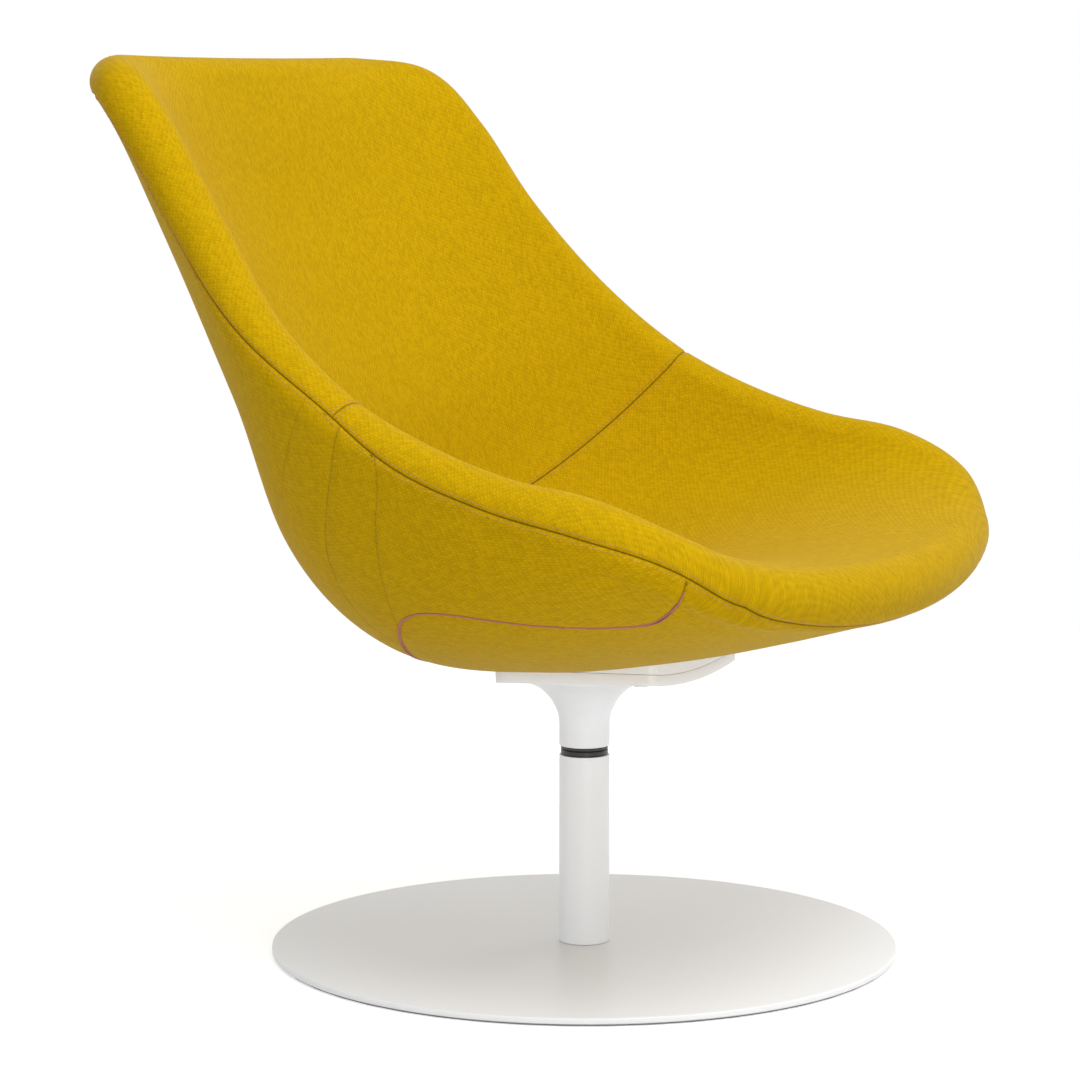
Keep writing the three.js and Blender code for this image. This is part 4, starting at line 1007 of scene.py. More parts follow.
def cover_trees():
    """Search trees of the panels' outer faces."""
    trees = []
    for name in PANELS:
        obj = bpy.data.objects[name]
        bm = bmesh.new()
        bm.from_mesh(obj.data)
        trees.append(BVHTree.FromBMesh(bm))
        bm.free()
    return trees


def nearest_cover(trees, point):
    """The nearest place on the covers and the direction out of it."""
    hits = [tree.find_nearest(point) for tree in trees]
    hits = [hit for hit in hits if hit[0] is not None]
    return min(hits, key=lambda hit: hit[3])[:2]


def along_line(line, spacing, directions=None):
    """Places at an even spacing along a line, with the line's way and the given directions at each."""
    spans = np.linalg.norm(np.diff(line, axis=0), axis=1)
    run = np.concatenate([[0], spans.cumsum()])
    at = np.arange(spacing / 2, run[-1], spacing)

    def sample(values, where):
        """Values at places along the run."""
        return np.stack([np.interp(where, run, values[:, k]) for k in range(3)], axis=1)

    ways = unit(sample(line, at + spacing / 4) - sample(line, at - spacing / 4))
    sampled = ways if directions is None else unit(sample(directions, at))
    return sample(line, at), ways, sampled


# A stitch's height over its width, and how far its middle stands off the cover, in thread radii
STITCH_FLAT = 0.9
STITCH_LIFT = 0.3


def stitch_matrix(place, way, normal, offset, trees, sizes):
    """Where one stitch lies beside the seam, and how it is turned and stretched."""
    spot, normal = nearest_cover(trees, place + normal.cross(way).normalized() * offset)
    side = normal.cross(way).normalized()
    turn = Matrix((side.cross(normal), side, normal)).transposed().to_4x4()
    size = Matrix.Diagonal((sizes.stitch_length / 2, sizes.thread, sizes.thread * STITCH_FLAT, 1))
    return Matrix.Translation(spot + normal * sizes.thread * STITCH_LIFT) @ turn @ size


def stitch_row(line, normals, offset, trees, sizes):
    """A row of stitches beside a seam, made in short runs."""
    places, ways, normals = along_line(line, sizes.stitch_pitch, normals)
    row = bmesh.new()
    batch = 40
    for start in range(0, len(places), batch):
        part = bmesh.new()
        for k in range(start, min(start + batch, len(places))):
            place, way, normal = Vector(places[k]), Vector(ways[k]), Vector(normals[k])
            matrix = stitch_matrix(place, way, normal, offset, trees, sizes)
            bmesh.ops.create_uvsphere(part, u_segments=6, v_segments=5, radius=1, matrix=matrix)
        mesh = bpy.data.meshes.new("run")
        part.to_mesh(mesh)
        part.free()
        row.from_mesh(mesh)
        bpy.data.meshes.remove(mesh)
    return row


def make_stitches(scene):
    """Rows of top stitches on both sides of the rim seam and the cross seam."""
    sizes = scene.armchair_seams
    surface = BucketSurface(scene.armchair_bucket)
    trees = cover_trees()
    thread = fibre_material("sewing_thread", scene.armchair_finishes.zip_tape)
    for seam in bucket_seams(sizes):
        for number, side in enumerate(seam.rows):
            normals = surface_normals(surface, seam.places)
            bm = stitch_row(seam.line(surface), normals, side * sizes.stitch_offset, trees, sizes)
            obj = object_from(bm, f"{seam.name}_stitches_{number + 1}", [thread])
            placed(obj, "seat", "zip_tape")


def sides_of(line, normals):
    """Directions across a line on the fabric."""
    return unit(np.cross(normals, unit(np.gradient(line, axis=0))))


def ribbon(line, normals, width, depth, name, material):
    """A flat tape along a line, edge by edge."""
    bm = bmesh.new()
    sides = sides_of(line, normals)
    centre = line - normals * depth
    edge = None
    for point, side in zip(centre, sides):
        ends = [Vector(point - side * width / 2), Vector(point + side * width / 2)]
        if edge is None:
            verts = [bm.verts.new(end) for end in ends]
            edge = bm.edges.new(verts)
            continue
        grown = bmesh.ops.extrude_edge_only(bm, edges=[edge])["geom"]
        verts = [item for item in grown if isinstance(item, bmesh.types.BMVert)]
        edges = (item for item in grown if isinstance(item, bmesh.types.BMEdge))
        edge = next(item for item in edges if set(item.verts) == set(verts))
        swapped = (verts[0].co - ends[0]).length > (verts[0].co - ends[1]).length
        for vert, end in zip(verts, ends[::-1] if swapped else ends):
            vert.co = end
    bmesh.ops.recalc_face_normals(bm, faces=bm.faces)
    middle = len(normals) // 2
    obj = object_from(bm, name, [material])
    face = obj.data.polygons[min(middle, len(obj.data.polygons) - 1)]
    if face.normal.dot(Vector(normals[middle])) < 0:
        obj.data.flip_normals()
    return obj


# The cord's radius at a coil and between two, as shares
COIL_SWELL = 1.12
COIL_WAIST = 0.8
# How deep the tape and the coils lie under the fabric's face
TAPE_DEPTH = 0.0019
COIL_DEPTH = 0.0005
TAPE_THICKNESS = 0.0005


def coil_row(line, normals, offset, depth, sizes, name, material):
    """One row of the zip's coils as a beaded cord."""
    curve = bpy.data.curves.new(name, "CURVE")
    curve.dimensions = "3D"
    curve.bevel_depth = sizes.cord
    curve.bevel_resolution = 1
    curve.use_fill_caps = True
    centre = line + sides_of(line, normals) * np.reshape(offset, (-1, 1)) - normals * depth
    places = along_line(centre, sizes.tooth / 2)[0]
    spline = curve.splines.new("POLY")
    spline.points.add(len(places) - 1)
    spline.points.foreach_set("co", np.pad(places, ((0, 0), (0, 1))).ravel())
    spline.points.foreach_set("radius", np.where(np.arange(len(places)) % 2 == 0, COIL_SWELL, COIL_WAIST))
    obj = bpy.data.objects.new(name, curve)
    bpy.context.scene.collection.objects.link(obj)
    made = mesh_of(obj)
    bpy.data.objects.remove(obj)
    made.materials.clear()
    made.materials.append(material)
    piece = bpy.data.objects.new(name, made)
    bpy.context.scene.collection.objects.link(piece)
    return piece


def mesh_of(obj):
    """The evaluated mesh of an object as a new mesh."""
    depsgraph = bpy.context.evaluated_depsgraph_get()
    return bpy.data.meshes.new_from_object(obj.evaluated_get(depsgraph))


def joined(name, objects):
    """Several mesh objects as one."""
    bm = bmesh.new()
    materials = []
    for obj in objects:
        material = obj.data.materials[0]
        if material not in materials:
            materials.append(material)
        count = len(bm.faces)
        bm.from_mesh(mesh_of(obj))
        bm.faces.ensure_lookup_table()
        for face in bm.faces[count:]:
            face.material_index = materials.index(material)
        bpy.data.objects.remove(obj)
    bmesh.ops.remove_doubles(bm, verts=bm.verts, dist=TINY)
    return object_from(bm, name, materials)


def surface_normals(surface, places):
    """Directions out of the fabric on its underside and round the rim."""
    across, along, turn = places.T
    angle = (math.pi * turn)[:, None]
    inward = surface.normal(across, along) * np.cos(angle)
    return unit(inward + surface.out_of_rim(across, along) * np.sin(angle))


def make_zips(scene):
    """The two halves of the zip round the belly, each with its tape and coils."""
    sizes = scene.armchair_zip
    surface = BucketSurface(scene.armchair_bucket)
    tone = scene.armchair_finishes.zip_tape
    tape, coil = fibre_material("zip_tape", tone), fibre_material("zip_coil", tone)
    half = smooth_line(ZIP_HALF)
    for name, places in (("right", half), ("left", mirrored(half))):
        line = surface.place(*places.T)
        normals = surface_normals(surface, places)
        cloth = ribbon(line, normals, sizes.tape, TAPE_DEPTH, f"tape_{name}", tape)
        thicken(cloth, TAPE_THICKNESS)
        run = np.concatenate([[0], np.linalg.norm(np.diff(line, axis=0), axis=1).cumsum()])
        at, opening = np.array(ZIP_OPENING).T
        spread = sizes.spread * np.interp(run / run[-1], at, opening)
        rows = [
            coil_row(line, normals, side * spread, COIL_DEPTH, sizes, f"coil_{name}_{side}", coil)
            for side in (-1, 1)
        ]
        piece = joined(f"zip_halves_{name}", [cloth, *rows])
        placed(piece, "seat", "zip_tape", f"zip_{name}")


# Where each slider starts and where it points, across and along the skin
SLIDER_ACROSS = (0.05, 0.06)
SLIDER_ALONG = (6.102, 6.103)
SLIDER_WIDTH = 0.0075
SLIDER_HEIGHT = 0.0026
SLIDER_SINK = 0.0006
# Shares of the slider's width at its tail and of its length and height at its bridge
SLIDER_TAIL = 0.62
BRIDGE_LENGTH, BRIDGE_RISE = 0.6, 0.62
PULL_WIDTH = 0.0052
PULL_START = 0.002
PULL_LIFT = 0.0004
PULL_THICKNESS = 0.0009
PULL_SLOPE = 0.09


def slider_body(sizes):
    """The slider: a rounded block with a narrower tail, and a bridge for its pull."""
    long, wide, high = sizes.slider, SLIDER_WIDTH, SLIDER_HEIGHT
    bm = bmesh.new()
    bmesh.ops.create_cube(bm, size=1, matrix=Matrix.Diagonal((long, wide, high, 1)))
    for vert in bm.verts:
        if vert.co.x < 0:
            vert.co.y *= SLIDER_TAIL
    round_edges(bm, 0.0009)
    size = Matrix.Diagonal((long * BRIDGE_LENGTH, 0.0022, 0.0014, 1))
    part = bmesh.new()
    bmesh.ops.create_cube(part, size=1, matrix=Matrix.Translation((0, 0, high * BRIDGE_RISE)) @ size)
    round_edges(part, 0.0005)
    return bm, part


def make_sliders(scene):
    """The two sliders at the rear of the zip, with their pulls sloping down to the fabric."""
    sizes = scene.armchair_zip
    surface = BucketSurface(scene.armchair_bucket)
    metal = steel_material("slider_metal", shade(scene.armchair_finishes.steel, 0.8), 0.3)
    for name, side in (("right", -1), ("left", 1)):
        across = side * np.array(SLIDER_ACROSS)
        ends = surface.place(across, np.array(SLIDER_ALONG), np.ones(2))
        normal = Vector(surface_normals(surface, np.array([[across[0], ZIP_HALF[0][1], 1.0]]))[0])
        way = Vector(unit(ends[1] - ends[0]))
        matrix = Matrix((way, normal.cross(way), normal)).transposed().to_4x4()
        matrix = Matrix.Translation(Vector(ends[0])) @ matrix
        body, bridge = slider_body(sizes)
        pull = bmesh.new()
        bmesh.ops.create_grid(pull, x_segments=14, y_segments=3, size=0.5)
        for vert in pull.verts:
            taper = 1 - 0.25 * (vert.co.x + 0.5)
            reach = sizes.pull * (vert.co.x + 0.5) + PULL_START
            height = SLIDER_HEIGHT + PULL_LIFT - PULL_SLOPE * reach
            vert.co = (reach, PULL_WIDTH * taper * vert.co.y, height)
        parts = []
        for number, part in enumerate((body, bridge, pull)):
            if part is not pull:
                for vert in part.verts:
                    vert.co.z += SLIDER_HEIGHT / 2 - SLIDER_SINK
            bmesh.ops.transform(part, matrix=matrix, verts=part.verts)
            obj = object_from(part, f"slider_{name}_{number}", [metal])
            if part is pull:
                thicken(obj, PULL_THICKNESS)
            parts.append(obj)
        piece = joined(f"slider_{name}", parts)
        sharpen(piece)
        placed(piece, "seat", "steel", f"zip_slider_{name}")


# Column, head and mount

FIT_GAP = 0.0003
TUBE_WALL = 0.003
PLATE_BORE = 0.0055
FLANGE = 0.005


def ring_profile(bore, radius, low, high):
    """The section of a plain ring."""
    return [(bore, low), (radius, low), (radius, high), (bore, high)]


def turned_piece(name, profile, rounding, material, slot, node, steps=128):
    """A turned piece with rounded edges that stays with the foot."""
    bm = turned(profile, steps)
    round_edges(bm, rounding)
    piece = object_from(bm, name, [material])
    even_shading(piece)
    placed(piece, "base", slot, node)


def make_foot(scene):
    """The round foot plate and the column tube."""
    # Painted light: the column's paint is lighter than the set colour, and the plate's a little darker as
    # painted shade
    paint = paint_material(scene, "column_paint")
    plate_paint = paint_material(scene, "plate_paint", 0.96)
    plate = ring_profile(PLATE_BORE, PLATE_HIGH.x, PLATE_LOW.z, PLATE_HIGH.z)
    turned_piece("foot_plate", plate, 0.0016, plate_paint, "white_paint", "base_plate", steps=256)
    radius = TUBE_HIGH.x
    tube = ring_profile(radius - TUBE_WALL, radius, TUBE_LOW.z, TUBE_HIGH.z)
    turned_piece("column", tube, 0.0007, paint, "white_paint", "column_tube")


def make_bearing(scene):
    """The black rings between the column and the head."""
    tone = scene.armchair_finishes.black
    black = plastic_material("bearing_black", tone, 0.36)
    grey = plastic_material("bearing_grey", shade(tone, 2.2), 0.42)
    low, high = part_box("upper_bush")
    bore = SPINDLE_HIGH.x + FIT_GAP
    sleeve = TUBE_HIGH.x - TUBE_WALL - FIT_GAP
    bush = [
        (bore, low.z), (sleeve, low.z), (sleeve, high.z - FLANGE), (high.x, high.z - FLANGE),
        (high.x, high.z), (bore, high.z),
    ]
    turned_piece("bearing_bush", bush, 0.0009, black, "black_plastic", "upper_bush")
    low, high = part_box("thrust_washer")
    washer = ring_profile(bore, high.x, low.z, high.z)
    turned_piece("bearing_washer", washer, 0.001, grey, "black_plastic", "thrust_washer")


# The mount: its tilts, its sizes, the round pad and the screw recesses
MOUNT_RAKE = math.radians(2.35)
SEAT_RAKE = math.radians(6.2)
MOUNT_SHIFT = -0.033
MOUNT_WIDTH = 0.190
MOUNT_DEPTH = 0.172
MOUNT_ARC = 0.620
MOUNT_FRONT_CORNER = 0.009
MOUNT_REAR_CORNER = 0.018
BRACKET_DROP = 0.006
BRACKET_THICKNESS = 0.009
SPACER_REAR = 0.0008
HAIR_GAP = 0.00005
BRACKET_SAG_FRONT = 0.0012
BRACKET_SAG_REAR = 0.0034
PAD_START = 0.045
PAD_BORE = 0.02
PAD_COVER = 0.005
SCREW_HEAD_HEIGHT = 0.007
SCREW_X, SCREW_Y = 0.070, 0.060
RECESS_RADIUS = 0.0071
RECESS_START = 0.01
RECESS_DEPTH = 0.003


def mount_matrix():
    """The bracket's frame on the head's raked top."""
    return Matrix.Translation((0, 0, HEAD_TOP)) @ Matrix.Rotation(-MOUNT_RAKE, 4, "X")


# The trumpet from the column into the bracket, as (radius, depth under the bracket's frame)
TRUMPET = [
    (0.0242, 0.0460), (0.0243, 0.0390), (0.0263, 0.0289), (0.0314, 0.0188), (0.0352, 0.0137),
    (0.0402, 0.0086), (0.0453, 0.0048), (0.0504, 0.0021), (0.0560, -0.0006), (0.0620, -0.0036),
    (0.0690, -0.0066),
]


def trumpet_curve():
    """The trumpet's profile as (radius, height) points."""
    line = between_rows(np.array(TRUMPET), np.linspace(0, len(TRUMPET) - 1, 4 * len(TRUMPET) - 3))
    return [(radius, HEAD_TOP - depth) for radius, depth in line]


def sliced(bm, place, normal):
    """Cuts a turned body off at a plane and closes the cut as a ring."""
    bmesh.ops.bisect_plane(
        bm, geom=bm.verts[:] + bm.edges[:] + bm.faces[:], plane_co=place, plane_no=normal, clear_outer=True
    )
    bmesh.ops.bridge_loops(bm, edges=[edge for edge in bm.edges if edge.is_boundary])
    bmesh.ops.recalc_face_normals(bm, faces=bm.faces)


def make_head(scene):
    """The column head: a trumpet that flares into the bracket's pad."""
    # Painted light: the head's paint is made lighter than the set colour
    paint = paint_material(scene, "head_paint")
    screw_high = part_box("spindle_screw")[1]
    bore = SPINDLE_HIGH.x + FIT_GAP
    hole = 0.0063
    recess = screw_high.x + FIT_GAP
    bore_top = SPINDLE_HIGH.z + FIT_GAP
    seat = screw_high.z - SCREW_HEAD_HEIGHT
    curve = trumpet_curve()
    above = curve[-1][1]
    radius = TUBE_HIGH.x
    profile = [(bore, HEAD_BOTTOM), (radius, HEAD_BOTTOM), *curve, (recess, above),
               (recess, seat), (hole, seat), (hole, bore_top), (bore, bore_top)]
    bm = turned(profile)
    normal = mount_matrix().to_3x3() @ Vector((0, 0, 1))
    sliced(bm, (0, 0, HEAD_TOP), normal)
    head = object_from(bm, "swivel_head", [paint])
    sharpen(head)
    placed(head, "seat", "white_paint", "column_head")


def pad_body(top):
    """The bracket's round pad: the trumpet's upper part, in the bracket's frame."""
    curve = [point for point in trumpet_curve() if point[0] > PAD_START]
    ceiling = HEAD_TOP + top
    bm = turned([*curve, (curve[-1][0], ceiling), (PAD_BORE, ceiling), (PAD_BORE, curve[0][1])])
    bmesh.ops.transform(bm, matrix=mount_matrix().inverted(), verts=bm.verts)
    sliced(bm, (0, 0, HAIR_GAP), (0, 0, -1))
    return bm


def arc_rise(x):
    """Rise of the plates' cross curve away from the middle."""
    return MOUNT_ARC - math.sqrt(MOUNT_ARC**2 - x**2)


def arc_plate(bottom, top):
    """A plate with a shallow cross curve and round corners, between two heights given as
    functions of a place."""
    bm = bmesh.new()
    half_x, half_y = MOUNT_WIDTH / 2, MOUNT_DEPTH / 2
    # The share of the grid's rows between the corners
    straight = 0.75
    bmesh.ops.create_grid(bm, x_segments=44, y_segments=48, size=1)
    for vert in bm.verts:
        across, down = vert.co.x, vert.co.y
        corner = MOUNT_REAR_CORNER if down > 0 else MOUNT_FRONT_CORNER
        reach = half_x
        if abs(down) > straight:
            part = (abs(down) - straight) / (1 - straight) * math.pi / 2
            y = half_y - corner + corner * math.sin(part)
            reach = half_x - corner * (1 - math.cos(part))
        else:
            y = abs(down) / straight * (half_y - corner)
        vert.co = (across * reach, MOUNT_SHIFT + math.copysign(y, down), 0)
    grown = bmesh.ops.extrude_face_region(bm, geom=bm.faces[:])["geom"]
    upper = {item for item in grown if isinstance(item, bmesh.types.BMVert)}
    for vert in bm.verts:
        height = top if vert in upper else bottom
        vert.co.z = height(vert.co.y) + arc_rise(vert.co.x)
    bmesh.ops.recalc_face_normals(bm, faces=bm.faces)
    return bm


def cutter(x, y, radius, low, high):
    """A round cutting body."""
    bm = bmesh.new()
    place = Matrix.Translation((x, y, (low + high) / 2))
    bmesh.ops.create_cone(
        bm, cap_ends=True, segments=40, radius1=radius, radius2=radius, depth=high - low, matrix=place
    )
    return bm


def boolean(obj, bm, operation):
    """Joins a body to an object or cuts it out of it."""
    other = object_from(bm, "cutting_body", [])
    step = obj.modifiers.new("boolean", "BOOLEAN")
    step.operation = operation
    step.solver = "EXACT"
    step.object = other
    mesh = mesh_of(obj)
    obj.modifiers.remove(step)
    obj.data = mesh
    bpy.data.objects.remove(other)


def make_mount(scene):
    """The cast bracket with its round pad and screw recesses, and the wedge between it and the seat."""
    # Painted light: the bracket's and the wedge's paint is made lighter than the set colour
    paint = paint_material(scene, "bracket_paint")
    top = BRACKET_DROP + BRACKET_THICKNESS
    front = MOUNT_SHIFT - MOUNT_DEPTH / 2

    def underside(y):
        """The bracket's lower face, which sags towards the rear."""
        sag = BRACKET_SAG_FRONT + (BRACKET_SAG_REAR - BRACKET_SAG_FRONT) * (y - front) / MOUNT_DEPTH
        return BRACKET_DROP - sag

    bm = arc_plate(underside, lambda y: top)
    round_edges(bm, 0.0018)
    bracket = object_from(bm, "bracket", [paint])
    boolean(bracket, pad_body(top - PAD_COVER), "UNION")
    for x in (-SCREW_X, SCREW_X):
        for y in (-SCREW_Y, SCREW_Y):
            ceiling = BRACKET_DROP + arc_rise(x) + RECESS_DEPTH
            body = cutter(x, MOUNT_SHIFT + y, RECESS_RADIUS, -RECESS_START, ceiling)
            boolean(bracket, body, "DIFFERENCE")
    bracket.data.transform(mount_matrix())
    sharpen(bracket)
    placed(bracket, "seat", "white_paint", "mount_bracket")

    rear = MOUNT_SHIFT + MOUNT_DEPTH / 2
    slope = math.tan(SEAT_RAKE - MOUNT_RAKE)
    foot = top + FIT_GAP
    bm = arc_plate(lambda y: foot, lambda y: foot + SPACER_REAR + slope * (rear - y))
    edges = [e for e in bm.edges if e.calc_face_angle(0) > 1]
    bmesh.ops.bevel(
        bm, geom=edges, offset=0.0003, offset_type="OFFSET", affect="EDGES", segments=1, profile=0.5,
        material=-1,
    )
    spacer = object_from(bm, "wedge", [paint])
    spacer.data.transform(mount_matrix())
    sharpen(spacer)
    placed(spacer, "seat", "white_paint", "mount_spacer")


# Materials

class Number:
    """A shader output that adds its own Math nodes where it is used in an expression."""

    def __init__(self, shader, socket):
        self.shader = shader
        self.socket = socket

    def math(self, operation, *others):
        """A Math node on this number and others."""
        inputs = dict(enumerate([self, *others]))
        return self.shader.add("ShaderNodeMath", {"operation": operation}, inputs)

    def __add__(self, other):
        return self.math("ADD", other)

    __radd__ = __add__

    def __mul__(self, other):
        return self.math("MULTIPLY", other)

    __rmul__ = __mul__

    def __sub__(self, other):
        return self.math("SUBTRACT", other)

    def __rsub__(self, other):
        return self.shader.add("ShaderNodeMath", {"operation": "SUBTRACT"}, {0: other, 1: self})

    def __truediv__(self, other):
        return self.math("DIVIDE", other)

    def clamped(self):
        """The number kept between 0 and 1."""
        return self.math("MINIMUM", 1.0).math("MAXIMUM", 0.0)


class Shader:
    """The nodes of a material, or of the world, under construction."""

    def __init__(self, name, world=None):
        self.owner = world or bpy.data.materials.new(name)
        self.owner.use_nodes = True
        self.tree = self.owner.node_tree
        self.tree.nodes.clear()

    def add(self, kind, settings=None, inputs=None, output=0):
        """A node of any kind: its settings first, then its sockets' values or links."""
        node = self.tree.nodes.new(kind)
        for key, value in (settings or {}).items():
            setattr(node, key, value)
        for key, value in (inputs or {}).items():
            if isinstance(value, Number):
                self.tree.links.new(value.socket, node.inputs[key])
            else:
                node.inputs[key].default_value = value
        return Number(self, node.outputs[output])

    def mix(self, factor, first, second):
        """Two colours mixed."""
        first, second = (c if isinstance(c, Number) else (*c[:3], 1) for c in (first, second))
        settings = {"data_type": "RGBA", "clamp_factor": True}
        return self.add("ShaderNodeMix", settings, {0: factor, 6: first, 7: second}, output=2)

    def noise(self, scale, detail=2.0, roughness=0.5, vector=None):
        """Noise on the object's own coordinates, from 0 to 1."""
        vector = vector or self.object_place()
        inputs = {"Vector": vector, "Scale": scale, "Detail": detail, "Roughness": roughness}
        return self.add("ShaderNodeTexNoise", None, inputs)

    def object_place(self):
        """Object coordinates."""
        return self.add("ShaderNodeTexCoord", output="Object")

    def parts(self, vector):
        """The three numbers of a vector."""
        split = self.add("ShaderNodeSeparateXYZ", None, {0: vector})
        outputs = split.socket.node.outputs
        return [Number(self, outputs[k]) for k in range(3)]

    def vector(self, x, y, z=0.0):
        """A vector from three numbers."""
        return self.add("ShaderNodeCombineXYZ", None, {0: x, 1: y, 2: z})

    def attribute(self, name):
        """A number stored on the mesh."""
        return self.add("ShaderNodeAttribute", {"attribute_name": name}, output="Fac")

    def finish(self, surface, bump=None, distance=0.0003, strength=1.0, **uniform):
        """The main shader: surface holds what varies, uniform what doesn't."""
        if bump is not None:
            inputs = {"Height": bump, "Distance": distance, "Strength": strength}
            surface = {**surface, "Normal": self.add("ShaderNodeBump", None, inputs)}
        plain = {key.replace("_", " "): value for key, value in uniform.items()}
        return self.close(self.add("ShaderNodeBsdfPrincipled", None, {**plain, **surface}))

    def close(self, surface, output="ShaderNodeOutputMaterial"):
        """Links what is shown to the output."""
        node = self.tree.nodes.new(output)
        self.tree.links.new(surface.socket, node.inputs["Surface"])
        return self.owner


def shade(colour_values, factor):
    """A colour made lighter or darker."""
    return tuple(min(1.0, c * factor) for c in colour_values[:3])


# How far a yarn wanders, in yarns, its crossings per yarn's width, and the pucker beside a stitched
# seam: its reach and its pitch
YARN_WANDER = 0.7
CROSSINGS = 0.55
PUCKER_REACH = 0.012
PUCKER_PITCH = 0.0088


def wool_material(scene):
    """Woven wool: yarns that pass over and under each other, a fuzzy nap, a soft sheen and painted shade
    along the seams.
    """
    finishes = scene.armchair_finishes
    wool = tuple(finishes.wool)
    s = Shader("yellow_wool")
    flat = s.add("ShaderNodeUVMap", {"uv_map": "weave"})
    x, y, _ = s.parts(flat)
    wander = s.noise(170.0, 2.0)
    drift = s.noise(60.0, 1.0)
    x = x / finishes.yarn + (wander - 0.5) * YARN_WANDER
    y = y / finishes.yarn + (drift - 0.5) * YARN_WANDER
    row = x.math("FLOOR")
    ridge = (x - row - 0.5) * 2
    ridge = 1 - ridge * ridge
    slant = y * CROSSINGS + row * 0.5
    wave = (slant * (2 * math.pi)).math("SINE")
    yarn = ridge * (0.62 + 0.38 * wave)
    cell = s.vector(row, slant.math("FLOOR"))
    speckle = s.add("ShaderNodeTexWhiteNoise", {"noise_dimensions": "2D"}, {"Vector": cell}, output="Value")
    nap = s.noise(1100.0, 3.0, 0.65)
    grain = s.noise(340.0, 2.0, 0.6)
    cloud = s.noise(9.0, 2.0)
    fold = (1 - s.attribute("seam_distance") / PUCKER_REACH).clamped()
    pucker = (s.attribute("seam_run") * (2 * math.pi / PUCKER_PITCH)).math("SINE") * fold * fold
    tone = 0.5 + (yarn - 0.45) * 0.6 + (speckle - 0.5) * 0.45 + (grain - 0.5) * 0.9
    tone = tone + (nap - 0.5) * 0.4 + (cloud - 0.5) * 0.1
    body = s.mix(tone.clamped(), shade(wool, 0.82), shade(wool, 1.18))
    # Painted shade along the seams' creases: the wool darkened towards three tenths of its colour
    body = s.mix(s.attribute("seam_shade"), body, shade(wool, 0.3))
    height = yarn * 0.6 + nap * 0.3 + grain * 0.5 + pucker * 0.4
    rough = 0.88 + (nap - 0.5) * 0.1
    return s.finish(
        {"Base Color": body, "Roughness": rough}, bump=height, distance=0.0005, strength=0.4,
        Sheen_Weight=finishes.wool_sheen, Sheen_Roughness=0.3, Sheen_Tint=(1.0, 0.86, 0.52, 1),
        Specular_IOR_Level=0.03,
    )


# Each fibre finish: its grain's scale, detail and roughness, the shares of its colour where it is
# darkest and lightest, its bump's depth and its shader's own values
FIBRES = {
    "sewing_thread": (4200.0, 2.0, 0.5, 0.8, 1.5, 0.0001, {"Roughness": 0.6, "Sheen_Weight": 0.3}),
    "zip_tape": (2600.0, 2.0, 0.5, 0.35, 0.75, 0.0002, {"Roughness": 0.8}),
    "zip_coil": (1800.0, 2.0, 0.5, 0.85, 1.25, 0.0001, {"Roughness": 0.5}),
    "floor_pad": (900.0, 4.0, 0.7, 0.76, 1.24, 0.0003, {"Roughness": 0.9}),
}


def fibre_material(name, tone):
    """Thread, woven tape, nylon coils or felt."""
    scale, detail, roughness, dark, light, depth, values = FIBRES[name]
    s = Shader(name)
    fibre = s.noise(scale, detail, roughness)
    body = s.mix(fibre, shade(tone, dark), shade(tone, light))
    return s.finish({"Base Color": body}, bump=fibre, distance=depth, **values)


def paint_material(scene, name, painted_light=1.08):
    """White powder coat: a fine orange peel, a slight unevenness and rubbed spots, made lighter or darker per
    piece as painted light.
    """
    finishes = scene.armchair_finishes
    # Painted light and shade: the paint made lighter for the column, head and bracket, and a little darker
    # for the foot plate
    paint = shade(tuple(finishes.paint), painted_light)
    s = Shader(name)
    peel = s.noise(900.0, 2.0, 0.6)
    cloud = s.noise(7.0, 3.0)
    speck = s.noise(160.0, 4.0, 0.7)
    body = s.mix(cloud, shade(paint, 0.975), shade(paint, 1.015))
    rough = finishes.paint_roughness + (cloud - 0.5) * 0.1 + (speck - 0.5) * 0.06
    return s.finish({"Base Color": body, "Roughness": rough}, bump=peel, distance=0.00008, strength=0.5)


def plastic_material(name, tone, roughness):
    """Moulded bearing plastic with a turned grain."""
    s = Shader(name)
    grain = s.noise(700.0, 3.0)
    _, _, z = s.parts(s.object_place())
    rings = (z * (2 * math.pi / 0.0006)).math("SINE")
    body = s.mix(grain, shade(tone, 0.8), shade(tone, 1.25))
    height = grain * 0.5 + rings * 0.2
    rough = roughness + (grain - 0.5) * 0.15
    return s.finish({"Base Color": body, "Roughness": rough}, bump=height, distance=0.00006)


def steel_material(name, tone, roughness, scratch=1200.0):
    """Bare or zinc-plated steel with fine drawn lines."""
    s = Shader(name)
    x, y, z = s.parts(s.object_place())
    drawn = s.noise(scratch, 2.0, 0.6, vector=s.vector(x * 0.08, y, z))
    patch = s.noise(60.0, 3.0)
    body = s.mix(patch, shade(tone, 0.85), shade(tone, 1.12))
    rough = roughness + (drawn - 0.5) * 0.25 + (patch - 0.5) * 0.1
    return s.finish({"Base Color": body, "Roughness": rough}, bump=drawn, distance=0.00003, Metallic=1.0)


def webbing_material():
    """Elastic webbing with ribs and a crossing weft."""
    s = Shader("webbing")
    x, y, _ = s.parts(s.object_place())
    rib = (y * (2 * math.pi / 0.0016)).math("SINE")
    weft = (x * (2 * math.pi / 0.0022)).math("SINE")
    tone = 0.5 + rib * 0.2 + weft * 0.15
    body = s.mix(tone.clamped(), (0.012, 0.012, 0.014), (0.05, 0.05, 0.055))
    return s.finish({"Base Color": body}, bump=rib * 0.5 + weft * 0.5, distance=0.0004, Roughness=0.85)


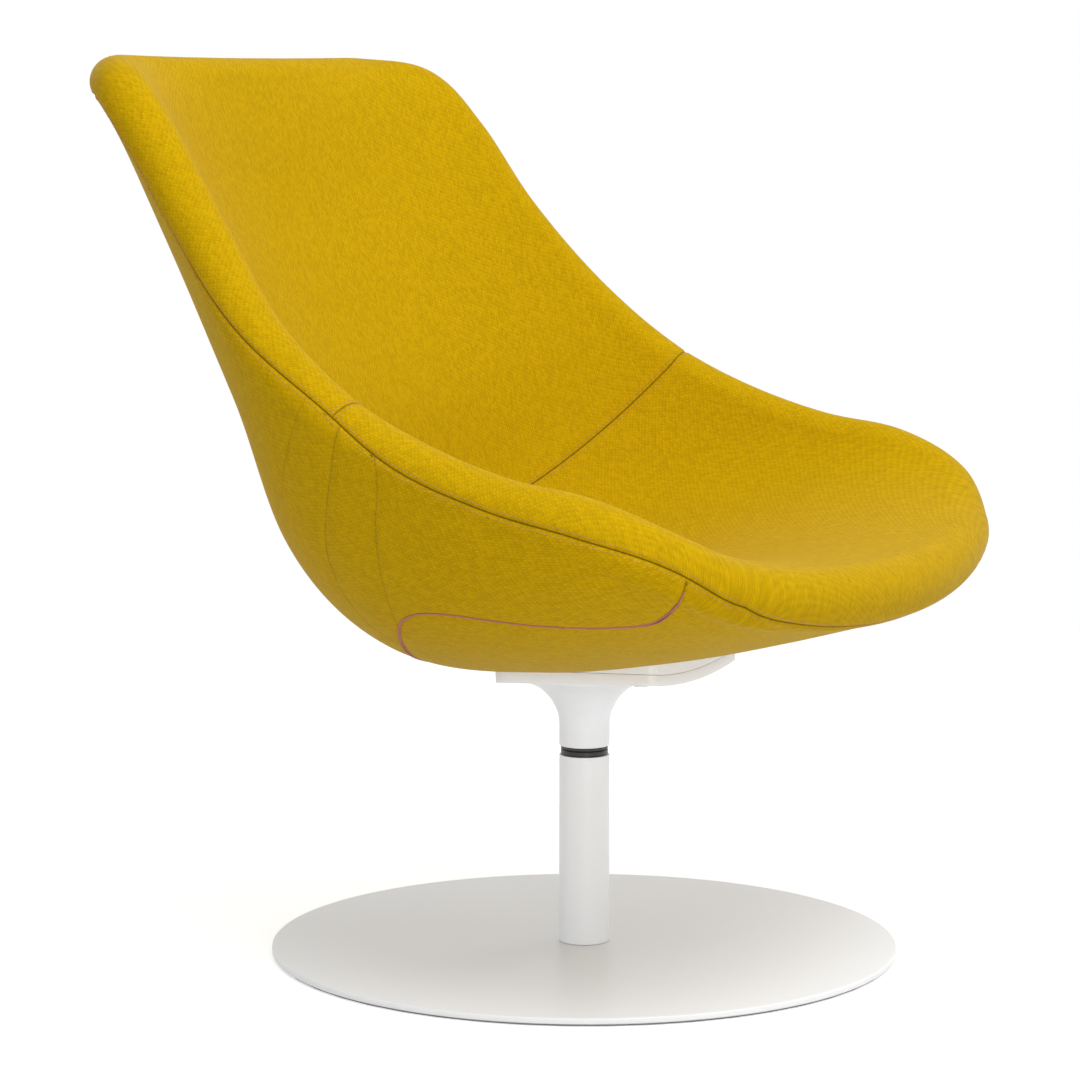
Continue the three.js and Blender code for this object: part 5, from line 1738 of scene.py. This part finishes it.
def finish_inner_parts(scene):
    """Gives every carried-over piece its own finish."""
    steel = tuple(scene.armchair_finishes.steel)
    black = tuple(scene.armchair_finishes.black)
    zinc = steel_material("zinc_plate", shade(steel, 1.1), 0.4)
    turned_steel = steel_material("turned_steel", steel, 0.28, 2500.0)
    frame_steel = steel_material("frame_steel", shade(steel, 0.5), 0.5)
    plastic = plastic_material("bush_plastic", black, 0.45)
    finishes = {
        "floor_protector": fibre_material("floor_pad", (0.25, 0.25, 0.25)),
        "foot_plug": plastic_material("plug_plastic", shade(black, 1.4), 0.5),
        "lower_bush": plastic,
        "spindle": turned_steel,
        "retaining": turned_steel,
        "frame_": frame_steel,
        "seat_strap": webbing_material(),
        "back_strap": webbing_material(),
    }
    for name, obj in frame["nodes"].items():
        if obj.hide_render:
            continue
        chosen = next((m for key, m in finishes.items() if name.startswith(key)), zinc)
        obj.data.materials.clear()
        obj.data.materials.append(chosen)


# Stage

WHITE = (1, 1, 1, 1)
FLOOR_GREY = (0.78, 0.78, 0.78, 1)
# The floor as the camera sees it: where it starts to fade into white, how wide the fade is, and its glow
FLOOR_KEPT = 0.7
FLOOR_FADE = 1.6
FLOOR_LIFT = 0.5
FLOOR_SIZE = 30
FLOOR_DROP = 0.0004
# Each lamp: its place, what it points at and its width
LAMPS = {
    "key": ((-0.9, -1.2, 2.7), (0, 0, 0.45), 1.6),
    "side": ((1.9, -0.9, 2.0), (0, 0, 0.5), 1.6),
    "fill": ((-2.2, -1.5, 0.32), (0, 0, 0.2), 0.6),
}


def camera_axes(stage):
    """The camera's place and its directions right, up and ahead."""
    cos, sin = math.cos(stage.azimuth), math.sin(stage.azimuth)
    place = Vector((sin * stage.distance, -cos * stage.distance, stage.height))
    ahead, right = Vector((-sin, cos, 0)), Vector((cos, sin, 0))
    level = ahead * math.cos(stage.yaw) + right * math.sin(stage.yaw)
    right = right * math.cos(stage.yaw) - ahead * math.sin(stage.yaw)
    ahead = level * math.cos(stage.pitch) - Vector((0, 0, 1)) * math.sin(stage.pitch)
    return place, right, right.cross(ahead), ahead


def make_camera(scene):
    """The camera at the photographed angle."""
    stage = scene.armchair_stage
    place, right, up, ahead = camera_axes(stage)
    data = bpy.data.cameras.new("camera")
    data.sensor_width = 36
    data.lens = stage.lens
    data.clip_end = 100
    camera = bpy.data.objects.new("camera", data)
    turn = Matrix((right, up, -ahead)).transposed().to_4x4()
    camera.matrix_world = Matrix.Translation(place) @ turn
    scene.collection.objects.link(camera)
    scene.camera = camera


def lamp(scene, name, place, aim, size, power):
    """A large soft lamp."""
    data = bpy.data.lights.new(name, "AREA")
    data.shape = "SQUARE"
    data.size = size
    data.energy = power
    obj = bpy.data.objects.new(name, data)
    way = Vector(aim) - Vector(place)
    obj.matrix_world = Matrix.Translation(place) @ way.to_track_quat("-Z", "Y").to_matrix().to_4x4()
    scene.collection.objects.link(obj)


def seen_directly(shader):
    """1 for camera, glossy and transmission rays."""
    paths = shader.tree.nodes.new("ShaderNodeLightPath")
    names = ("Is Camera Ray", "Is Glossy Ray", "Is Transmission Ray")
    camera, glossy, through = (Number(shader, paths.outputs[name]) for name in names)
    return camera.math("MAXIMUM", glossy).math("MAXIMUM", through)


def make_world(scene):
    """A white room that gives even light."""
    world = bpy.data.worlds.new("studio")
    scene.world = world
    s = Shader("studio", world)
    ambient = scene.armchair_stage.ambient
    strength = ambient + (1 - ambient) * seen_directly(s)
    light = s.add("ShaderNodeBackground", None, {"Color": WHITE, "Strength": strength})
    s.close(light, "ShaderNodeOutputWorld")


def floor_material():
    """A white floor that keeps the shadow round the foot and runs out into white."""
    s = Shader("studio_floor")
    x, y, _ = s.parts(s.object_place())
    away = (x * x + y * y).math("SQRT")
    open_floor = ((away - FLOOR_KEPT) / FLOOR_FADE).clamped()
    white = s.add("ShaderNodeEmission", None, {"Color": WHITE, "Strength": 1.0})
    cloth = s.add("ShaderNodeBsdfDiffuse", None, {"Color": FLOOR_GREY})
    lift = s.add("ShaderNodeEmission", None, {"Color": WHITE, "Strength": FLOOR_LIFT})
    lit = s.add("ShaderNodeAddShader", None, {0: cloth, 1: lift})
    shown = s.add("ShaderNodeMixShader", None, {0: open_floor, 1: lit, 2: white})
    mixed = s.add("ShaderNodeMixShader", None, {0: seen_directly(s), 1: cloth, 2: shown})
    return s.close(mixed)


def make_stage(scene):
    """Floor, light and camera."""
    make_camera(scene)
    make_world(scene)
    bm = bmesh.new()
    bmesh.ops.create_grid(bm, x_segments=1, y_segments=1, size=FLOOR_SIZE)
    floor = object_from(bm, "floor", [floor_material()])
    floor.data.transform(Matrix.Translation((0, 0, -FLOOR_DROP)))
    for name, (place, aim, size) in LAMPS.items():
        lamp(scene, f"{name}_lamp", place, aim, size, getattr(scene.armchair_stage, name))
    scene.view_settings.view_transform = "Standard"


# Operators and panel

class ARMCHAIR_OT_stage(bpy.types.Operator):
    """Set up the floor, the light and the camera"""

    bl_idname = "armchair.stage"
    bl_label = "Stage"

    def execute(self, context):
        make_stage(context.scene)
        return {"FINISHED"}


class ARMCHAIR_OT_foot(bpy.types.Operator):
    """Turn the foot plate and the column"""

    bl_idname = "armchair.foot"
    bl_label = "Foot and column"

    def execute(self, context):
        make_foot(context.scene)
        return {"FINISHED"}


class ARMCHAIR_OT_bearing(bpy.types.Operator):
    """Turn the black rings of the swivel bearing"""

    bl_idname = "armchair.bearing"
    bl_label = "Bearing rings"

    def execute(self, context):
        make_bearing(context.scene)
        return {"FINISHED"}


class ARMCHAIR_OT_head(bpy.types.Operator):
    """Turn the column head"""

    bl_idname = "armchair.head"
    bl_label = "Column head"

    def execute(self, context):
        make_head(context.scene)
        return {"FINISHED"}


class ARMCHAIR_OT_mount(bpy.types.Operator):
    """Shape the bracket and the wedge under the seat"""

    bl_idname = "armchair.mount"
    bl_label = "Bracket and wedge"

    def execute(self, context):
        make_mount(context.scene)
        return {"FINISHED"}


class ARMCHAIR_OT_covers(bpy.types.Operator):
    """Sew the wool covers round the foam"""

    bl_idname = "armchair.covers"
    bl_label = "Covers"

    def execute(self, context):
        make_covers(context.scene)
        return {"FINISHED"}


class ARMCHAIR_OT_stitches(bpy.types.Operator):
    """Top-stitch the seams"""

    bl_idname = "armchair.stitches"
    bl_label = "Stitches"

    def execute(self, context):
        make_stitches(context.scene)
        return {"FINISHED"}


class ARMCHAIR_OT_zips(bpy.types.Operator):
    """Set the zip into the belly"""

    bl_idname = "armchair.zips"
    bl_label = "Zip"

    def execute(self, context):
        make_zips(context.scene)
        make_sliders(context.scene)
        return {"FINISHED"}


class ARMCHAIR_OT_inner_parts(bpy.types.Operator):
    """Finish the frame, the screws and the other inner parts"""

    bl_idname = "armchair.inner_parts"
    bl_label = "Inner parts"

    def execute(self, context):
        finish_inner_parts(context.scene)
        return {"FINISHED"}


OPERATORS = [
    ARMCHAIR_OT_stage,
    ARMCHAIR_OT_foot,
    ARMCHAIR_OT_bearing,
    ARMCHAIR_OT_head,
    ARMCHAIR_OT_mount,
    ARMCHAIR_OT_covers,
    ARMCHAIR_OT_stitches,
    ARMCHAIR_OT_zips,
    ARMCHAIR_OT_inner_parts,
]
GROUPS = {
    "armchair_bucket": BucketSizes,
    "armchair_seams": SeamSizes,
    "armchair_zip": ZipSizes,
    "armchair_finishes": Finishes,
    "armchair_stage": StageSizes,
}


class ARMCHAIR_PT_build(bpy.types.Panel):
    """Lists the armchair's steps and sizes"""

    bl_label = "Armchair"
    bl_idname = "ARMCHAIR_PT_build"
    bl_space_type = "VIEW_3D"
    bl_region_type = "UI"
    bl_category = "Armchair"

    def draw(self, context):
        """Draws a button for each step and a box for each group of sizes."""
        for operator in OPERATORS:
            self.layout.operator(operator.bl_idname)
        for name, group in GROUPS.items():
            box = self.layout.box()
            for key in group.__annotations__:
                box.prop(getattr(context.scene, name), key)


def register():
    """Registers the add-on's classes and its settings."""
    for cls in [*GROUPS.values(), *OPERATORS, ARMCHAIR_PT_build]:
        bpy.utils.register_class(cls)
    for name, group in GROUPS.items():
        setattr(bpy.types.Scene, name, PointerProperty(type=group))


def unregister():
    """Takes the settings and the classes away again."""
    for name in GROUPS:
        delattr(bpy.types.Scene, name)
    for cls in [ARMCHAIR_PT_build, *reversed(OPERATORS), *reversed(GROUPS.values())]:
        bpy.utils.unregister_class(cls)


def main():
    """Builds the whole armchair."""
    register()
    for operator in OPERATORS:
        group, name = operator.bl_idname.split(".")
        getattr(getattr(bpy.ops, group), name)()


if __name__ == "__main__":
    main()
